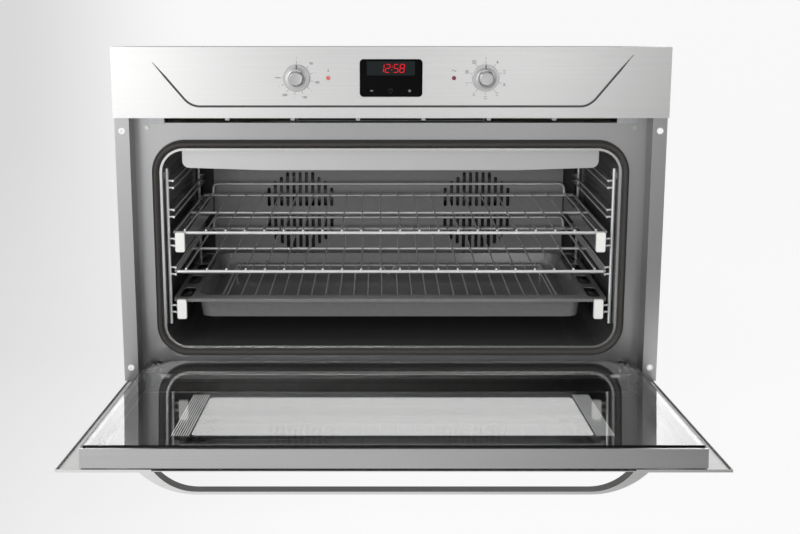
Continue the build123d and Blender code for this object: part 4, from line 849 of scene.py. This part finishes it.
woolLow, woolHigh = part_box("insulation_blanket")
inner, roof, floor = mats["inner"], mats["roof"], mats["floor"]
matBoxes = {
    "roofMat": ((woolLow.x, woolLow.y, roof), (woolHigh.x, woolHigh.y, woolHigh.z)),
    "floorMat": ((-inner, woolLow.y, woolLow.z), (inner, woolHigh.y, floor)),
    "leftMat": ((woolLow.x, woolLow.y, floor), (-inner, woolHigh.y, roof)),
    "rightMat": ((inner, woolLow.y, floor), (woolHigh.x, woolHigh.y, roof)),
}
for name, (low, high) in matBoxes.items():
    mesh = matMesh(name + "Mesh", low, high, elementHollow if name == "floorMat" else None)
    replaced = ["insulation_blanket"] if name == "roofMat" else ()
    addPiece(name, mesh, wool, "housing", replaced, smooth=60)
print("wool mats made")

# Studio: one curved sweep that is floor and backdrop, soft lamps, an even world, and the camera
studio = {"half": 6.0, "front": -7.0, "back": 2.6, "bend": 1.4, "top": 5.0, "bendSteps": 24, "sideSteps": 9,
          "white": 1.0, "shade": 0.72, "shadeFrom": -1.0, "shadeSlant": 0.25, "seenShare": 0.9,
          "ahead": -0.75, "mirrorHalf": 1.8, "mirrorLeft": 1.1, "mirrorRight": 0.42,
          "nearFrom": -3.0, "nearTo": -1.8, "nearRight": 0.6, "nearShade": 0.68,
          "wallBehind": 1.5, "wallLit": 2.1, "wallInner": 1.38, "wallOuter": 2.6}


def sweepMesh():
    # Profile: flat floor, a quarter circle, then a wall, carried from left to right
    angle = np.linspace(0, pi / 2, studio["bendSteps"])
    wall = studio["back"] + studio["bend"]
    y = np.concatenate([[studio["front"]], studio["back"] + studio["bend"] * np.sin(angle), [wall]])
    z = np.concatenate([[0.0], studio["bend"] * (1 - np.cos(angle)), [studio["top"]]])
    x = np.linspace(-studio["half"], studio["half"], studio["sideSteps"])
    grid = np.stack(np.broadcast_arrays(x[None, :], y[:, None], z[:, None]), axis=-1)
    return gridMesh("sweepMesh", grid, False, False)


def sweepFinish():
    # The camera, mirrors and glass see white on the right and light grey on the left. Three parts look
    # otherwise, but never to the camera: the floor ahead is bright on the left and grey on the right, near
    # the oven its right is darker still, and two fields of the wall behind are brighter than white.
    finish, tree, shader = newFinish("paleSweep", {"Base Color": (0.8, 0.8, 0.8, 1.0), "Roughness": 0.9})
    place = addNode(tree, "ShaderNodeTexCoord").outputs["Object"]
    x, y = (axisOf(tree, place, axis) for axis in "XY")
    path = addNode(tree, "ShaderNodeLightPath").outputs
    unseen = addMath(tree, "SUBTRACT", 1.0, path["Is Camera Ray"])
    across = addMath(tree, "MULTIPLY_ADD", addMath(tree, "MAXIMUM", y, 0.0), studio["shadeSlant"], x)
    plain = addRamp(tree, across, studio["shadeFrom"], 0.0, studio["shade"], studio["white"],
                    interpolation_type="SMOOTHSTEP")
    front = addRamp(tree, x, -studio["mirrorHalf"], studio["mirrorHalf"], studio["mirrorLeft"],
                    studio["mirrorRight"])
    near = addRamp(tree, y, studio["nearFrom"], studio["nearTo"], 0.0, 1.0)
    right = addRamp(tree, x, 0.0, studio["nearRight"], 0.0, studio["nearShade"])
    dimmed = addMath(tree, "SUBTRACT", 1.0, addMath(tree, "MULTIPLY", near, right))
    front = addMath(tree, "MULTIPLY", front, dimmed)
    ahead = addMath(tree, "MULTIPLY", addMath(tree, "LESS_THAN", y, studio["ahead"]), unseen)
    change = addMath(tree, "MULTIPLY", ahead, addMath(tree, "SUBTRACT", front, plain))
    aside = addMath(tree, "ABSOLUTE", x)
    field = addMath(tree, "MULTIPLY", addMath(tree, "GREATER_THAN", aside, studio["wallInner"]),
                    addMath(tree, "LESS_THAN", aside, studio["wallOuter"]))
    field = addMath(tree, "MULTIPLY", field, addMath(tree, "GREATER_THAN", y, studio["wallBehind"]))
    field = addMath(tree, "MULTIPLY", field, unseen)
    change = addMath(tree, "MULTIPLY_ADD", field, studio["wallLit"], change)
    glow = addNode(tree, "ShaderNodeEmission", {"Strength": addMath(tree, "ADD", plain, change)})
    seen = addMath(tree, "ADD", path["Is Camera Ray"], path["Is Glossy Ray"])
    seen = addMath(tree, "MINIMUM", addMath(tree, "ADD", seen, path["Is Transmission Ray"]), 1.0)
    share = addMath(tree, "MULTIPLY", seen, studio["seenShare"])
    mix = addNode(tree, "ShaderNodeMixShader", {0: share, 1: shader.outputs[0], 2: glow.outputs[0]})
    tree.links.new(mix.outputs[0], tree.nodes["Material Output"].inputs["Surface"])
    return finish


sweep = bpy.data.objects.new("studioSweep", sweepMesh())
scene.collection.objects.link(sweep)
sweep.data.materials.append(sweepFinish())

lamps = {
    "keyLeft": {"at": (-2.6, -3.2, 1.9), "to": (-0.1, -0.3, 0.35), "size": (1.8, 1.6), "power": 26.0},
    "fillRight": {"at": (2.6, -2.6, 1.5), "to": (0.1, -0.3, 0.3), "size": (1.6, 1.6), "power": 12.0},
    "topSoft": {"at": (0.0, -0.9, 2.6), "to": (0.0, -0.3, 0.0), "size": (2.4, 1.6), "power": 14.0},
    "frontSoft": {"at": (-0.5, -3.2, 0.75), "to": (0.0, 0.0, 0.28), "size": (1.2, 0.8), "power": 34.0,
                  "mirrored": False},
    "stripLeft": {"at": (-1.35, -3.4, 0.4), "to": (-0.3, -0.3, 0.4), "size": (1.0, 0.6), "power": 4.0},
    "stripRight": {"at": (0.62, -3.4, 0.36), "to": (0.2, -0.3, 0.53), "size": (0.4, 0.3), "power": 1.6},
}
for name, lamp in lamps.items():
    light = bpy.data.lights.new(name, "AREA")
    light.shape = "RECTANGLE"
    light.size, light.size_y = lamp["size"]
    light.energy = lamp["power"]
    holder = bpy.data.objects.new(name, light)
    holder.location = lamp["at"]
    holder.rotation_euler = (Vector(lamp["to"]) - Vector(lamp["at"])).to_track_quat("-Z", "Y").to_euler()
    holder.visible_camera = False
    holder.visible_glossy = lamp.get("mirrored", True)
    scene.collection.objects.link(holder)

# The world is brighter on the left and low down. The camera sees it as an even, nearly white backdrop.
air = {"side": 0.8, "left": 0.85, "right": 0.3, "high": 0.9, "low": 1.0, "top": 0.5, "seen": 0.97}
world = bpy.data.worlds.new("studioWorld")
world.use_nodes = True
worldTree = world.node_tree
worldWay = addNode(worldTree, "ShaderNodeTexCoord").outputs["Generated"]
worldHigh = addRamp(worldTree, axisOf(worldTree, worldWay, "Z"), 0.0, air["high"], air["low"], air["top"])
worldSide = addRamp(worldTree, axisOf(worldTree, worldWay, "X"), -air["side"], air["side"], air["left"],
                    air["right"])
worldGlow = addMath(worldTree, "MULTIPLY", worldSide, worldHigh)
worldSeen = addNode(worldTree, "ShaderNodeLightPath").outputs["Is Camera Ray"]
worldPale = addMath(worldTree, "MULTIPLY", worldSeen, addMath(worldTree, "SUBTRACT", air["seen"], worldGlow))
background = worldTree.nodes["Background"]
worldTree.links.new(addMath(worldTree, "ADD", worldGlow, worldPale), background.inputs["Strength"])
background.inputs["Color"].default_value = (1.0, 1.0, 1.0, 1.0)
scene.world = world

# The camera looks down a little and its lens is shifted down
view = {"at": (-0.02095, -2.1146, 0.7128), "pitch": 10.26, "lens": 51.55, "sensor": 36.0,
        "shift": (0.0275, -0.11)}
camera = bpy.data.cameras.new("frontCamera")
camera.lens = view["lens"]
camera.sensor_width = view["sensor"]
camera.shift_x, camera.shift_y = view["shift"]
cameraHolder = bpy.data.objects.new("frontCamera", camera)
cameraHolder.location = view["at"]
cameraHolder.rotation_euler = (radians(90 - view["pitch"]), 0.0, 0.0)
scene.collection.objects.link(cameraHolder)
scene.camera = cameraHolder
scene.view_settings.view_transform = "Standard"
print("studio and camera set")
